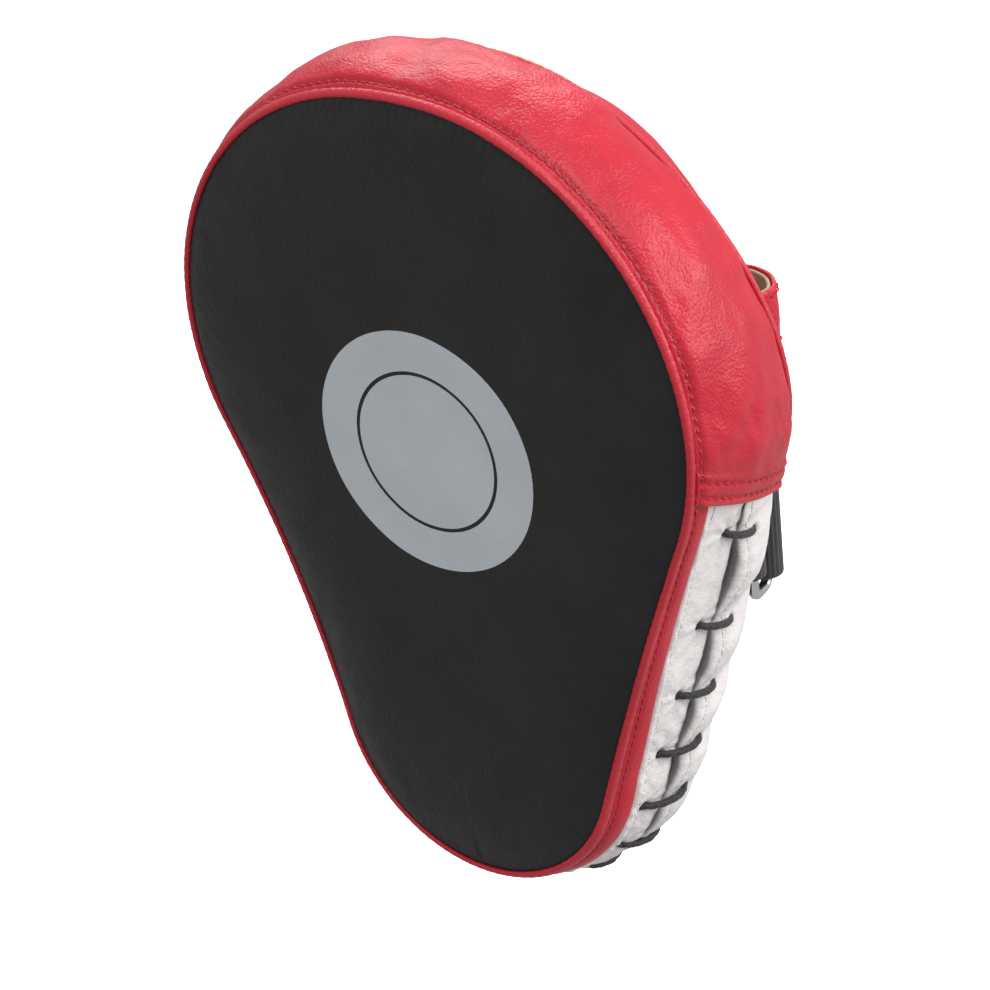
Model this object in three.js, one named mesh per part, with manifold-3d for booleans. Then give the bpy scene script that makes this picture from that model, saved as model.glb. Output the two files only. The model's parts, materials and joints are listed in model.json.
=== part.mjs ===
// Curved boxing focus mitt: a padded target worn on one hand.
// Millimetres. +Z points along the fingers, -Y is the side that is punched, +X is the viewer's right.
// Pad coordinates: s across, t up the mitt, d behind the middle of the punched face. The finished
// group is shifted so that the origin lies where the palm rests, in the middle of the back.
import * as THREE from 'three';
import { mergeVertices } from 'three/addons/utils/BufferGeometryUtils.js';
import Module from 'manifold-3d';

// ---- driving dimensions ----
const FACE_LENGTH = 250;          // punched face, fingertips to heel
const CROWN_RADIUS = 130;         // flat arc over the fingertips
const CROWN_HALF_ANGLE = 5;       // degrees of that arc on each side of the middle
const SHOULDER_RADIUS = 84.5;     // large round upper body
const WAIST_RADIUS = 800;         // shallow hollow of the flanks
const HEEL_RADIUS = 50;           // small round lower end
const BEND_RADIUS = 1000;         // the whole mitt is bent lengthwise, hollow to the front
const DISH_RADIUS = 725;          // and across
const FACE_CROWN = 9.3;           // the face stands this far in front of its seam
const CROWN_FLATNESS = 4;         // powers of the pillow edge: flat middle, tight rim
const CROWN_ROUNDNESS = 0.8;
const TIP_DEPTH = 36;             // side wall, seam to seam, at the fingertips
const WAIST_DEPTH = 57.5;         // at the thickest place
const HEEL_DEPTH = 38.7;          // at the heel
const WAIST_HEIGHT = -12;         // t of the thickest place
const WALL_PUFF = 3;              // the side wall bulges out by this much half way back
const BACK_FLARE_TOP = -2.5;      // back outline against face outline, upper part
const BACK_FLARE_HEEL = 8;        // and at the heel
const FLARE_START = 25;           // t where it starts to change
const FLARE_LENGTH = 150;         // and the length it takes
const PALM_HOLLOW = 9;            // the back is dished this deep for the palm

const SKIN = 1.6;                 // leather thickness
const GAP = 0.4;                  // air between touching pieces
const PIPE_RADIUS = 1.6;

const TARGET_RADIUS = 38;
const TARGET_HEIGHT = 19.5;       // t of the target's centre
const TARGET_INNER_SHARE = 0.652;
const TARGET_RING_LINE = 1.2;     // bare line between ring and disc
const PRINT_THICKNESS = 0.5;

const HEM_HEIGHT_FRONT = 21.5;    // t where the upper gusset ends, at the face seam
const HEM_HEIGHT_BACK = -3;       // and at the back seam
const HEM_TUCK = 8;               // the lower strips run this far under the hem
const RED_STRIP_WIDTH = 11.5;
const LACE_LINE_SHARE = 0.55;     // the laced slit, as a share of the wall's depth
const LACE_SLIT = 2;
const STRIP_SINK = 0.5;           // the lower strips lie this far below the gusset's inside

const LACE_DIAMETER = 2.4;
const LACE_CLEARANCE = 0.35;
const EYELET_RADIUS = 2;
const LACE_FRONT_INSET = 7;       // eyelets, in front of and behind the slit
const LACE_BACK_INSET = 10.5;
const LACE_SLANT = 4.5;           // the back eyelet sits this much lower than the front one
const LACE_FIRST = 5;             // along the wall, from t = 0 to the first stitch
const LACE_HEEL_PITCH = 16;
const LACE_EXTRA_PITCH = 17;      // the first pitch is this much longer; the surplus then fades
const LACE_FADE = 0.45;
const LACE_STITCHES_PER_SIDE = 8;
const KNOT_RADIUS = 2.6;

const FOAM_ROOM = 2.2;            // between the foam and the leather before and behind it
const FOAM_INSET_TOP = 4;          // from the face outline, above the hem
const FOAM_INSET_HEEL = 10;        // and below it
const FOAM_STEP_ABOVE_HEM = 20;   // where the inset starts to change
const FOAM_STEP_LENGTH = 30;      // and the length it takes
const STRIKE_FOAM = 12;
const PALM_FOAM = 12;
const WRAP_THICKNESS = 1;
const WRAP_MARGIN = 5;

const HOOD_MOUTH = 66;            // t of the finger hood's opening
const HOOD_TIP = 114;
const HOOD_HEIGHT = 27;
const HOOD_EDGE_INSET = 8;        // hood edge, inside the back seam
const HOOD_ARCH = 0.75;           // power of the hood's arch: 1 is a sine, less is squarer
const HOOD_PADDING = 3;
const HOOD_GAP = 0.9;             // between the hood's layers
const LINING = 1;
const HOOD_SEAT = 1.2;            // the hood's layers start this far above the back's middle surface
const DIVIDER_THICKNESS = 1.4;
const FINGER_PITCH = 23;

const THUMB_LOOP_TOP = 61;
const THUMB_LOOP_WIDTH = 20;
const THUMB_LOOP_OUTSIDE = 79;    // s of its outermost point
const THUMB_LOOP_RISE = 17;       // its crest above the back

const GRIP_HALF_WIDTH = 30;
const GRIP_HALF_HEIGHT = 20;
const GRIP_RISE = 9;
const GRIP_HEIGHT = 6;            // t of the grip's centre
const WRIST_PAD_HALF_WIDTH = 33;
const WRIST_PAD_HALF_HEIGHT = 22;
const WRIST_PAD_RISE = 8;
const WRIST_PAD_HEIGHT = -88;
const DOME_FLATNESS = 2.6;        // power of both pads' profile
const DOME_RIM = 0.8;             // their thickness at the rim

const STRAP_WIDTH = 31;
const STRAP_THICKNESS = 1.8;
const STRAP_HEIGHT = -30;         // t of the strap's middle
const STRAP_RISE = 37;            // room for the hand under the strap
const STRAP_FOOT_INSET = 2;       // its sewn end, inside the flank of the face outline
const STRAP_PATCH_LENGTH = 11;    // leather patch over that end
const FASTENER_THICKNESS = 1;     // hook or loop tape
const FLAP_LENGTH = 74;
const FLAP_TIP_LENGTH = 14;
const FLAP_GAP = 0.6;             // cut between fold and flap, where the flap peels
const LOOP_START = 16;            // the tapes begin this far from the ring
const TAPE_MARGIN = 2;

const ROD_RADIUS = 1.75;          // strap ring wire
const RING_INNER_HEIGHT = 34;
const RING_PITCH = 9.8;           // between the centres of its two long bars
const RING_INSET = 6;             // its inner bar, inside the flank of the face outline
const RING_LEAN = 98;             // degrees from +X to the outer bar
const FOLD_SLACK = 1.4;           // air between the wire and the strap round it
const TAB_WIDTH = 22;
const TAB_THICKNESS = 1.6;
const TAB_SLACK = 0.7;            // air between the wire and the tab round it
const TAB_LENGTH = 22;
const ANCHOR_WIDTH = 38;
const ANCHOR_LENGTH = 27;
const ANCHOR_EDGE_INSET = 2.5;    // inside the back seam
const PATCH_MARGIN = 4;

const STEPS_AROUND = 48;
const FOAM_STEPS = 32;

const wasm = await Module();
wasm.setup();

// ---- outline of the face ----
const crownZ = FACE_LENGTH / 2 - CROWN_RADIUS;
const heelZ = HEEL_RADIUS - FACE_LENGTH / 2;
const crownTurn = THREE.MathUtils.degToRad(CROWN_HALF_ANGLE);
const shoulder = new THREE.Vector2(
  (CROWN_RADIUS - SHOULDER_RADIUS) * Math.sin(crownTurn),
  crownZ + (CROWN_RADIUS - SHOULDER_RADIUS) * Math.cos(crownTurn),
);
const heel = new THREE.Vector2(0, heelZ);

// The waist arc touches the shoulder arc and the heel arc from outside.
function waistCentre() {
  const toHeel = heel.clone().sub(shoulder);
  const span = toHeel.length();
  const fromShoulder = SHOULDER_RADIUS + WAIST_RADIUS;
  const fromHeel = HEEL_RADIUS + WAIST_RADIUS;
  const along = (fromShoulder ** 2 - fromHeel ** 2 + span ** 2) / (2 * span);
  const aside = Math.sqrt(fromShoulder ** 2 - along ** 2);
  toHeel.normalize();
  const outward = new THREE.Vector2(-toHeel.y, toHeel.x);
  return shoulder.clone().addScaledVector(toHeel, along).addScaledVector(outward, aside);
}

function rightHalf() {
  const waist = waistCentre();
  const fromShoulder = waist.clone().sub(shoulder).angle();
  const fromHeel = waist.clone().sub(heel).angle();
  const path = new THREE.Path();
  const up = Math.PI / 2;
  path.absarc(0, crownZ, CROWN_RADIUS, up, up - crownTurn, true);
  path.absarc(shoulder.x, shoulder.y, SHOULDER_RADIUS, up - crownTurn, fromShoulder - 2 * Math.PI, true);
  path.absarc(waist.x, waist.y, WAIST_RADIUS, fromShoulder - Math.PI, fromHeel - Math.PI, false);
  path.absarc(0, heelZ, HEEL_RADIUS, fromHeel - 2 * Math.PI, -up, true);
  return path;
}
const half = rightHalf();
const HALF_LENGTH = half.getLength();

// u runs once round the outline: 0 at the fingertips, 0.5 at the heel, negative on the left.
function outline(u) {
  const turn = u - Math.floor(u);
  const left = turn > 0.5;
  const share = left ? 2 - 2 * turn : 2 * turn;
  const point = half.getPoint(share);
  const tangent = half.getTangent(share);
  const side = left ? -1 : 1;
  return { s: side * point.x, t: point.y, ns: -side * tangent.y, nt: tangent.x };
}

// Share of the outline at which the right flank is at height t.
function shareAtHeight(t) {
  let low = 0;
  let high = 1;
  for (let i = 0; i < 40; i++) {
    const middle = (low + high) / 2;
    if (half.getPoint(middle).y > t) low = middle;
    else high = middle;
  }
  return low / 2;
}

// Half width, at height t, of the outline moved out by an offset.
function flankAt(t, offset) {
  let low = 0;
  let high = 0.5;
  for (let i = 0; i < 40; i++) {
    const middle = (low + high) / 2;
    const edge = outline(middle);
    if (edge.t + edge.nt * offset > t) low = middle;
    else high = middle;
  }
  const edge = outline(low);
  return edge.s + edge.ns * offset;
}

// How far out a point lies: 0 in the middle of the face, 1 on its outline.
const EDGE_SAMPLES = 720;
const edgePolar = Array.from({ length: EDGE_SAMPLES + 1 }, (_, i) => {
  const point = half.getPoint(i / EDGE_SAMPLES);
  return { angle: Math.atan2(Math.max(point.x, 0), point.y), radius: point.length() };
});
function edgeFraction(s, t) {
  const angle = Math.atan2(Math.abs(s), t);
  let i = 1;
  while (i < EDGE_SAMPLES && edgePolar[i].angle < angle) i++;
  const before = edgePolar[i - 1];
  const after = edgePolar[i];
  const share = (angle - before.angle) / Math.max(after.angle - before.angle, 1e-9);
  return Math.hypot(s, t) / THREE.MathUtils.lerp(before.radius, after.radius, share);
}

// ---- shape of the padded body ----
function bend(s, t, d) {
  const turn = t / BEND_RADIUS;
  const y = (BEND_RADIUS + d) * Math.cos(turn) - BEND_RADIUS - (s * s) / (2 * DISH_RADIUS);
  return new THREE.Vector3(s, y, (BEND_RADIUS + d) * Math.sin(turn));
}

function wallDepth(t) {
  const end = t > WAIST_HEIGHT ? TIP_DEPTH : HEEL_DEPTH;
  const reach = t > WAIST_HEIGHT ? FACE_LENGTH / 2 - WAIST_HEIGHT : FACE_LENGTH / 2 + WAIST_HEIGHT;
  const phase = Math.min(Math.abs(t - WAIST_HEIGHT) / reach, 1);
  return end + (WAIST_DEPTH - end) * (1 + Math.cos(Math.PI * phase)) / 2;
}

function backFlare(t) {
  const down = THREE.MathUtils.smoothstep(FLARE_START - t, 0, FLARE_LENGTH);
  return THREE.MathUtils.lerp(BACK_FLARE_TOP, BACK_FLARE_HEEL, down);
}

function frontDepth(s, t) {
  const out = Math.min(edgeFraction(s, t), 1);
  return FACE_CROWN * (1 - (1 - out ** CROWN_FLATNESS) ** CROWN_ROUNDNESS);
}

function backDepth(s, t) {
  const out = Math.min(edgeFraction(s, t), 1);
  return FACE_CROWN + wallDepth(t) - PALM_HOLLOW * (1 - out ** 2);
}

// A point of the side wall: u round the outline, depth behind the face seam, lift above the wall.
function wallPoint(u, depth, lift) {
  const edge = outline(u);
  const share = depth / wallDepth(edge.t);
  const out = backFlare(edge.t) * share + 4 * WALL_PUFF * share * (1 - share) + lift;
  return bend(edge.s + edge.ns * out, edge.t + edge.nt * out, FACE_CROWN + depth);
}

// A point above the hand side of the back panel.
function onBack(s, t, rise) {
  return bend(s, t, backDepth(s, t) + SKIN / 2 + rise);
}

// How far back the hand side lies at a given X and Z.
function backY(x, z) {
  const t = z / (1 + backDepth(x, z) / BEND_RADIUS);
  return onBack(x, t, 0).y;
}

// ---- solid makers ----
function faceOut(geometry) {
  const position = geometry.attributes.position;
  const index = geometry.index.array;
  const a = new THREE.Vector3();
  const b = new THREE.Vector3();
  const c = new THREE.Vector3();
  let volume = 0;
  for (let i = 0; i < index.length; i += 3) {
    a.fromBufferAttribute(position, index[i]);
    b.fromBufferAttribute(position, index[i + 1]);
    c.fromBufferAttribute(position, index[i + 2]);
    volume += a.dot(b.cross(c));
  }
  if (volume < 0) {
    for (let i = 0; i < index.length; i += 3) {
      const keep = index[i + 1];
      index[i + 1] = index[i + 2];
      index[i + 2] = keep;
    }
  }
  return geometry;
}

function welded(geometry) {
  geometry.deleteAttribute('normal');
  geometry.deleteAttribute('uv');
  return faceOut(mergeVertices(geometry, 1e-3));
}

// A slab of cloth or leather: a box whose corners x, y, z in 0..1 are placed by a function.
function slab(alongSteps, acrossSteps, place, thicknessSteps = 1) {
  const geometry = new THREE.BoxGeometry(1, 1, 1, alongSteps, acrossSteps, thicknessSteps);
  const position = geometry.attributes.position;
  for (let i = 0; i < position.count; i++) {
    const point = place(position.getX(i) + 0.5, position.getY(i) + 0.5, position.getZ(i) + 0.5);
    position.setXYZ(i, point.x, point.y, point.z);
  }
  return welded(geometry);
}

// A closed ring: a lathed circle whose section is placed station by station.
function ring(stations, sides, place) {
  const section = Array.from({ length: sides + 1 }, (_, j) => {
    const turn = (2 * Math.PI * j) / sides;
    return new THREE.Vector2(2 + Math.cos(turn), Math.sin(turn));
  });
  const geometry = new THREE.LatheGeometry(section, stations);
  const position = geometry.attributes.position;
  for (let i = 0; i <= stations; i++) {
    for (let j = 0; j <= sides; j++) {
      const point = place((i % stations) / stations, (2 * Math.PI * (j % sides)) / sides);
      position.setXYZ(i * (sides + 1) + j, point.x, point.y, point.z);
    }
  }
  return welded(geometry);
}

// A closed plate: a lathed disc; place(u, out, under) gives the front for under 0, the rear for 1.
function plate(stations, rings, place) {
  const profile = [];
  for (let j = 0; j <= rings; j++) profile.push({ out: j / rings, under: 0 });
  for (let j = rings; j >= 0; j--) profile.push({ out: j / rings, under: 1 });
  const geometry = new THREE.LatheGeometry(
    profile.map(({ out, under }) => new THREE.Vector2(out, under)), stations);
  const position = geometry.attributes.position;
  for (let i = 0; i <= stations; i++) {
    profile.forEach(({ out, under }, j) => {
      const point = place((i % stations) / stations, out, under);
      position.setXYZ(i * profile.length + j, point.x, point.y, point.z);
    });
  }
  return welded(geometry);
}

// A curve whose even steps fall on its own points, so that short bends keep their shape.
class StepCurve extends THREE.CatmullRomCurve3 {
  getPointAt(u, target) {
    return this.getPoint(u, target);
  }

  getTangentAt(u, target) {
    return this.getTangent(u, target);
  }
}

function tube(points, radius, sides = 8) {
  const circle = new THREE.Shape();
  circle.absarc(0, 0, radius, 0, 2 * Math.PI, false);
  const section = new THREE.Shape(circle.getPoints(sides).slice(0, sides));
  const extrudePath = new StepCurve(points, false, 'centripetal');
  const steps = points.length - 1;
  return welded(new THREE.ExtrudeGeometry(section, { steps, extrudePath, bevelEnabled: false }));
}

function solidOf(geometry) {
  const mesh = new wasm.Mesh({
    numProp: 3,
    vertProperties: new Float32Array(geometry.attributes.position.array),
    triVerts: new Uint32Array(geometry.index.array),
  });
  return new wasm.Manifold(mesh);
}

function geometryOf(solid) {
  const mesh = solid.getMesh();
  const geometry = new THREE.BufferGeometry();
  geometry.setAttribute('position', new THREE.BufferAttribute(new Float32Array(mesh.vertProperties), 3));
  geometry.setIndex(new THREE.BufferAttribute(new Uint32Array(mesh.triVerts), 1));
  return geometry;
}

const mitt = new THREE.Group();
mitt.position.copy(onBack(0, 0, 0)).negate();

const LOOKS = {
  blackLeather: { color: 0x262423, roughness: 0.5, metalness: 0 },
  redLeather: { color: 0xd23a4a, roughness: 0.4, metalness: 0 },
  whiteLeather: { color: 0xe4dedc, roughness: 0.55, metalness: 0 },
  tanLeather: { color: 0xc79a78, roughness: 0.8, metalness: 0 },
  print: { color: 0xa3a8ad, roughness: 0.6, metalness: 0 },
  foam: { color: 0x3a3b3f, roughness: 0.9, metalness: 0 },
  paleFoam: { color: 0xc9c4b4, roughness: 0.9, metalness: 0 },
  liner: { color: 0x1b1b1d, roughness: 0.85, metalness: 0 },
  webbing: { color: 0x1e1f22, roughness: 0.8, metalness: 0 },
  cord: { color: 0x151517, roughness: 0.6, metalness: 0 },
  steel: { color: 0xc9ccd0, roughness: 0.25, metalness: 1 },
};

function add(name, look, geometry) {
  const mesh = new THREE.Mesh(geometry, new THREE.MeshStandardMaterial(LOOKS[look]));
  mesh.name = name;
  mitt.add(mesh);
}

// ---- punched face ----
function edgeLayer(steps, rings, frontOf, rearOf, insetOf) {
  return plate(steps, rings, (u, out, under) => {
    const edge = outline(u);
    const inset = insetOf(edge.t);
    const s = (edge.s - edge.ns * inset) * out;
    const t = (edge.t - edge.nt * inset) * out;
    return bend(s, t, under ? rearOf(s, t) : frontOf(s, t));
  });
}

function frontPanel() {
  const rear = (s, t) => frontDepth(s, t) + SKIN;
  add('front_panel', 'blackLeather', edgeLayer(STEPS_AROUND, 6, frontDepth, rear, () => 0));
}

function facePrints() {
  const lift = (s, t, under) => frontDepth(s, t) - GAP - (under ? 0 : PRINT_THICKNESS);
  const innerRadius = TARGET_RADIUS * TARGET_INNER_SHARE;
  const around = (turn, radius, under) => {
    const s = radius * Math.sin(turn);
    const t = TARGET_HEIGHT + radius * Math.cos(turn);
    return bend(s, t, lift(s, t, under));
  };
  const discRadius = innerRadius - TARGET_RING_LINE / 2;
  add('target_disc', 'print', plate(32, 2, (u, out, under) => around(2 * Math.PI * u, discRadius * out, under)));
  const ringInside = innerRadius + TARGET_RING_LINE / 2;
  add('target_ring', 'print', ring(32, 6, (u, turn) => {
    const corner = Math.round((6 * turn) / (2 * Math.PI));
    const share = [0, 0.5, 1, 1, 0.5, 0][corner];
    const radius = THREE.MathUtils.lerp(ringInside, TARGET_RADIUS, share);
    return around(2 * Math.PI * u, radius, corner > 2);
  }));
}

function piping(name, depthOf) {
  add(name, 'redLeather', ring(STEPS_AROUND, 6, (u, turn) => {
    const depth = depthOf(outline(u).t);
    const across = PIPE_RADIUS * Math.cos(turn);
    const along = PIPE_RADIUS * Math.sin(turn);
    const seam = wallPoint(u, depth, PIPE_RADIUS + GAP + across);
    return seam.add(new THREE.Vector3(0, along, 0));
  }));
}

// ---- foam ----
function foamInset(t) {
  const start = HEM_HEIGHT_FRONT + FOAM_STEP_ABOVE_HEM;
  const down = THREE.MathUtils.smoothstep(start - t, 0, FOAM_STEP_LENGTH);
  return THREE.MathUtils.lerp(FOAM_INSET_TOP, FOAM_INSET_HEEL, down);
}

function foamStack() {
  const top = (s, t) => frontDepth(s, t) + SKIN + FOAM_ROOM;
  const strikeRear = (s, t) => top(s, t) + STRIKE_FOAM;
  const palmRear = (s, t) => backDepth(s, t) - SKIN / 2 - FOAM_ROOM;
  const palmFront = (s, t) => palmRear(s, t) - PALM_FOAM;
  const shift = (surface, by) => (s, t) => surface(s, t) + by;
  const foamLayer = (front, rear) => edgeLayer(FOAM_STEPS, 3, front, rear, foamInset);
  add('strike_foam', 'foam', foamLayer(top, strikeRear));
  add('core_foam', 'paleFoam', foamLayer(shift(strikeRear, FOAM_ROOM), shift(palmFront, -FOAM_ROOM)));
  add('palm_foam', 'foam', foamLayer(palmFront, palmRear));
}

function foamWrap() {
  const corners = [[0, 0], [1, 0], [1, 1], [0, 1]];
  add('foam_wrap', 'liner', ring(FOAM_STEPS, corners.length, (u, turn) => {
    const [outside, far] = corners[Math.round((corners.length * turn) / (2 * Math.PI))];
    const edge = outline(u);
    const lift = GAP + outside * WRAP_THICKNESS - foamInset(edge.t);
    const depth = THREE.MathUtils.lerp(WRAP_MARGIN, wallDepth(edge.t) - WRAP_MARGIN, far);
    return bend(edge.s + edge.ns * lift, edge.t + edge.nt * lift, FACE_CROWN + depth);
  }));
}

// ---- side wall ----
const PIPE_ROOM = PIPE_RADIUS + 1.5 * GAP;

function hemShare(depthShare) {
  return shareAtHeight(THREE.MathUtils.lerp(HEM_HEIGHT_FRONT, HEM_HEIGHT_BACK, depthShare));
}

function upperGusset() {
  add('upper_gusset', 'redLeather', slab(40, 4, (x, y, z) => {
    const u = (2 * x - 1) * hemShare(y);
    const deep = wallDepth(outline(u).t);
    return wallPoint(u, THREE.MathUtils.lerp(PIPE_ROOM, deep - PIPE_ROOM, y), SKIN * z);
  }));
}

// A strip of the lower wall between two depths, from hem to hem round the heel.
function lowerStrip(frontOf, rearOf, steps, across, lift, thickness) {
  const tuck = HEM_TUCK / (2 * HALF_LENGTH);
  return slab(steps, across, (x, y, z) => {
    const deep = wallDepth(WAIST_HEIGHT);
    const share = THREE.MathUtils.lerp(frontOf(deep), rearOf(deep), y) / deep;
    const start = hemShare(share) - tuck;
    const u = THREE.MathUtils.lerp(start, 1 - start, x);
    const depthHere = wallDepth(outline(u).t);
    const depth = THREE.MathUtils.lerp(frontOf(depthHere), rearOf(depthHere), y);
    return wallPoint(u, depth, lift - thickness * (1 - z));
  });
}

const slitFront = (deep) => LACE_LINE_SHARE * deep - LACE_SLIT / 2;
const slitRear = (deep) => LACE_LINE_SHARE * deep + LACE_SLIT / 2;
const STRIP_LIFT = -STRIP_SINK;

// Height of each stitch along the flank, then the same from the heel up the other side.
function stitchShares() {
  const atZero = shareAtHeight(0);
  const right = [];
  let along = LACE_FIRST;
  let extra = LACE_EXTRA_PITCH;
  for (let i = 0; i < LACE_STITCHES_PER_SIDE; i++) {
    right.push(atZero + along / (2 * HALF_LENGTH));
    along += LACE_HEEL_PITCH + extra;
    extra *= LACE_FADE;
  }
  return [...right, ...right.map((u) => 1 - u).reverse()];
}

// Where each stitch goes through the two strips: u and depth of its eyelets.
function eyelets() {
  const slant = LACE_SLANT / (2 * HALF_LENGTH);
  return stitchShares().map((u) => {
    const lower = u > 0.5 ? -slant : slant;
    const front = { u: u - lower / 2 };
    const rear = { u: u + lower / 2 };
    front.depth = LACE_LINE_SHARE * wallDepth(outline(front.u).t) - LACE_FRONT_INSET;
    rear.depth = LACE_LINE_SHARE * wallDepth(outline(rear.u).t) + LACE_BACK_INSET;
    return { front, rear, u, depth: (front.depth + rear.depth) / 2 };
  });
}

function lacePoints() {
  const above = STRIP_LIFT + LACE_DIAMETER / 2 + LACE_CLEARANCE;
  const below = STRIP_LIFT - SKIN - LACE_DIAMETER / 2 - 2 * LACE_CLEARANCE;
  const points = [];
  for (const { front, rear, u, depth } of eyelets()) {
    points.push(wallPoint(front.u, front.depth, below));
    points.push(wallPoint(front.u, front.depth, above));
    points.push(wallPoint(u, depth, above + LACE_CLEARANCE));
    points.push(wallPoint(rear.u, rear.depth, above));
    points.push(wallPoint(rear.u, rear.depth, below));
  }
  return points;
}

// One drill through the wall for each eyelet.
function eyeletDrills() {
  const drills = [];
  const up = new THREE.Vector3(0, 1, 0);
  const length = 8;
  for (const { front, rear } of eyelets()) {
    for (const { u, depth } of [front, rear]) {
      const inside = wallPoint(u, depth, STRIP_LIFT - length / 2);
      const outside = wallPoint(u, depth, STRIP_LIFT + length / 2);
      const turn = new THREE.Quaternion().setFromUnitVectors(up, outside.clone().sub(inside).normalize());
      const middle = inside.add(outside).multiplyScalar(0.5);
      const pin = new THREE.CylinderGeometry(EYELET_RADIUS, EYELET_RADIUS, length, 6);
      drills.push(solidOf(welded(pin.applyQuaternion(turn).translate(middle.x, middle.y, middle.z))));
    }
  }
  return wasm.Manifold.union(drills);
}

function lowerWall() {
  const path = lacePoints();
  const cord = tube(path, LACE_DIAMETER / 2, 6);
  const drills = eyeletDrills();
  const redRear = () => RED_STRIP_WIDTH;
  const whiteFront = () => RED_STRIP_WIDTH + GAP;
  const rearEnd = (deep) => deep - PIPE_ROOM;
  add('lower_red_strip', 'redLeather', lowerStrip(() => PIPE_ROOM, redRear, 36, 1, STRIP_LIFT, SKIN));
  const front = lowerStrip(whiteFront, slitFront, 36, 1, STRIP_LIFT, SKIN);
  const rear = lowerStrip(slitRear, rearEnd, 36, 2, STRIP_LIFT, SKIN);
  add('front_lace_strip', 'whiteLeather', geometryOf(solidOf(front).subtract(drills)));
  add('back_lace_strip', 'whiteLeather', geometryOf(solidOf(rear).subtract(drills)));
  add('lace_cord', 'cord', cord);
  addKnot('lace_knot_right', path[0], path[1]);
  addKnot('lace_knot_left', path[path.length - 1], path[path.length - 2]);
}

// A round knot just past the end of the cord, inside the wall.
function addKnot(name, end, before) {
  const outward = before.clone().sub(end).normalize();
  const centre = end.clone().addScaledVector(outward, -(KNOT_RADIUS + GAP));
  add(name, 'cord', welded(new THREE.SphereGeometry(KNOT_RADIUS, 10, 8).translate(centre.x, centre.y, centre.z)));
}

// ---- hand side ----
function backPanel() {
  const front = (s, t) => backDepth(s, t) - SKIN / 2;
  const rear = (s, t) => backDepth(s, t) + SKIN / 2;
  add('back_panel', 'blackLeather', edgeLayer(STEPS_AROUND, 6, front, rear, (t) => -backFlare(t)));
}

function hoodPoint(angle, along, inward) {
  const tip = HOOD_TIP - inward;
  const t = THREE.MathUtils.lerp(HOOD_MOUTH, tip, along);
  const flank = flankAt(t, backFlare(t) - HOOD_EDGE_INSET - inward);
  const round = Math.max(Math.sqrt(1 - along ** 3), 0.06);
  const rise = (HOOD_HEIGHT - inward) * round * Math.sin(angle) ** HOOD_ARCH;
  return onBack(flank * Math.cos(angle), t, HOOD_SEAT + rise);
}

function hoodLayer(name, look, outside, thickness) {
  add(name, look, slab(18, 6, (x, y, z) => (
    hoodPoint(Math.PI * x, y, outside + thickness * (1 - z)))));
}

function fingerHood() {
  hoodLayer('hood_shell', 'redLeather', 0, SKIN);
  hoodLayer('hood_padding', 'foam', SKIN + HOOD_GAP, HOOD_PADDING);
  hoodLayer('hood_lining', 'tanLeather', SKIN + HOOD_PADDING + 2 * HOOD_GAP, LINING);
  const wall = SKIN + HOOD_PADDING + LINING + 2 * HOOD_GAP;
  const rim = [];
  const rimSteps = 22;
  for (let i = 0; i <= rimSteps; i++) {
    const angle = THREE.MathUtils.lerp(0.04, 0.96, i / rimSteps) * Math.PI;
    const point = hoodPoint(angle, 0, wall / 2);
    rim.push(point.add(new THREE.Vector3(0, 0, -PIPE_RADIUS - GAP)));
  }
  add('hood_binding', 'blackLeather', tube(rim, PIPE_RADIUS));
  for (const place of [-1, 0, 1]) addDivider(place, wall + GAP);
}

function addDivider(place, insideWall) {
  const middle = place * FINGER_PITCH;
  const low = HOOD_MOUTH + 8;
  const high = HOOD_TIP - 22;
  add(`finger_divider_${place + 2}`, 'tanLeather', slab(4, 2, (x, y, z) => {
    const t = THREE.MathUtils.lerp(low, high, x);
    const along = (t - HOOD_MOUTH) / (HOOD_TIP - insideWall - HOOD_MOUTH);
    const flank = flankAt(t, backFlare(t) - HOOD_EDGE_INSET - insideWall);
    const angle = Math.acos(middle / flank);
    const round = Math.sqrt(1 - along ** 3);
    const top = (HOOD_HEIGHT - insideWall) * round * Math.sin(angle) ** HOOD_ARCH - 2 * GAP;
    return onBack(middle + DIVIDER_THICKNESS * (z - 0.5), t, THREE.MathUtils.lerp(GAP, top, y));
  }));
}

// ---- bands standing off the back ----
// A band's centre line is drawn in X and rise above the back; from, to are shares of its length.
function alongLine(line, share, offset) {
  const point = line.getPointAt(share);
  const tangent = line.getTangentAt(share);
  return new THREE.Vector2(point.x - tangent.y * offset, point.y + tangent.x * offset);
}

// Near the back the band lies on the panel; CLING_END above it the band is straight across its width.
const CLING_START = 2.5;
const CLING_END = 8;
function bandAt(x, rise, z, middle) {
  const follow = 1 - THREE.MathUtils.smoothstep(rise, CLING_START, CLING_END);
  const y = THREE.MathUtils.lerp(backY(x, middle), backY(x, z), follow) + rise;
  return new THREE.Vector3(x, y, z);
}

function band(line, from, to, inner, outer, low, high, steps) {
  return slab(steps, 2, (x, y, z) => {
    const flat = alongLine(line, THREE.MathUtils.lerp(from, to, x), THREE.MathUtils.lerp(inner, outer, z));
    return bandAt(flat.x, flat.y, THREE.MathUtils.lerp(low, high, y), (low + high) / 2);
  });
}

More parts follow.
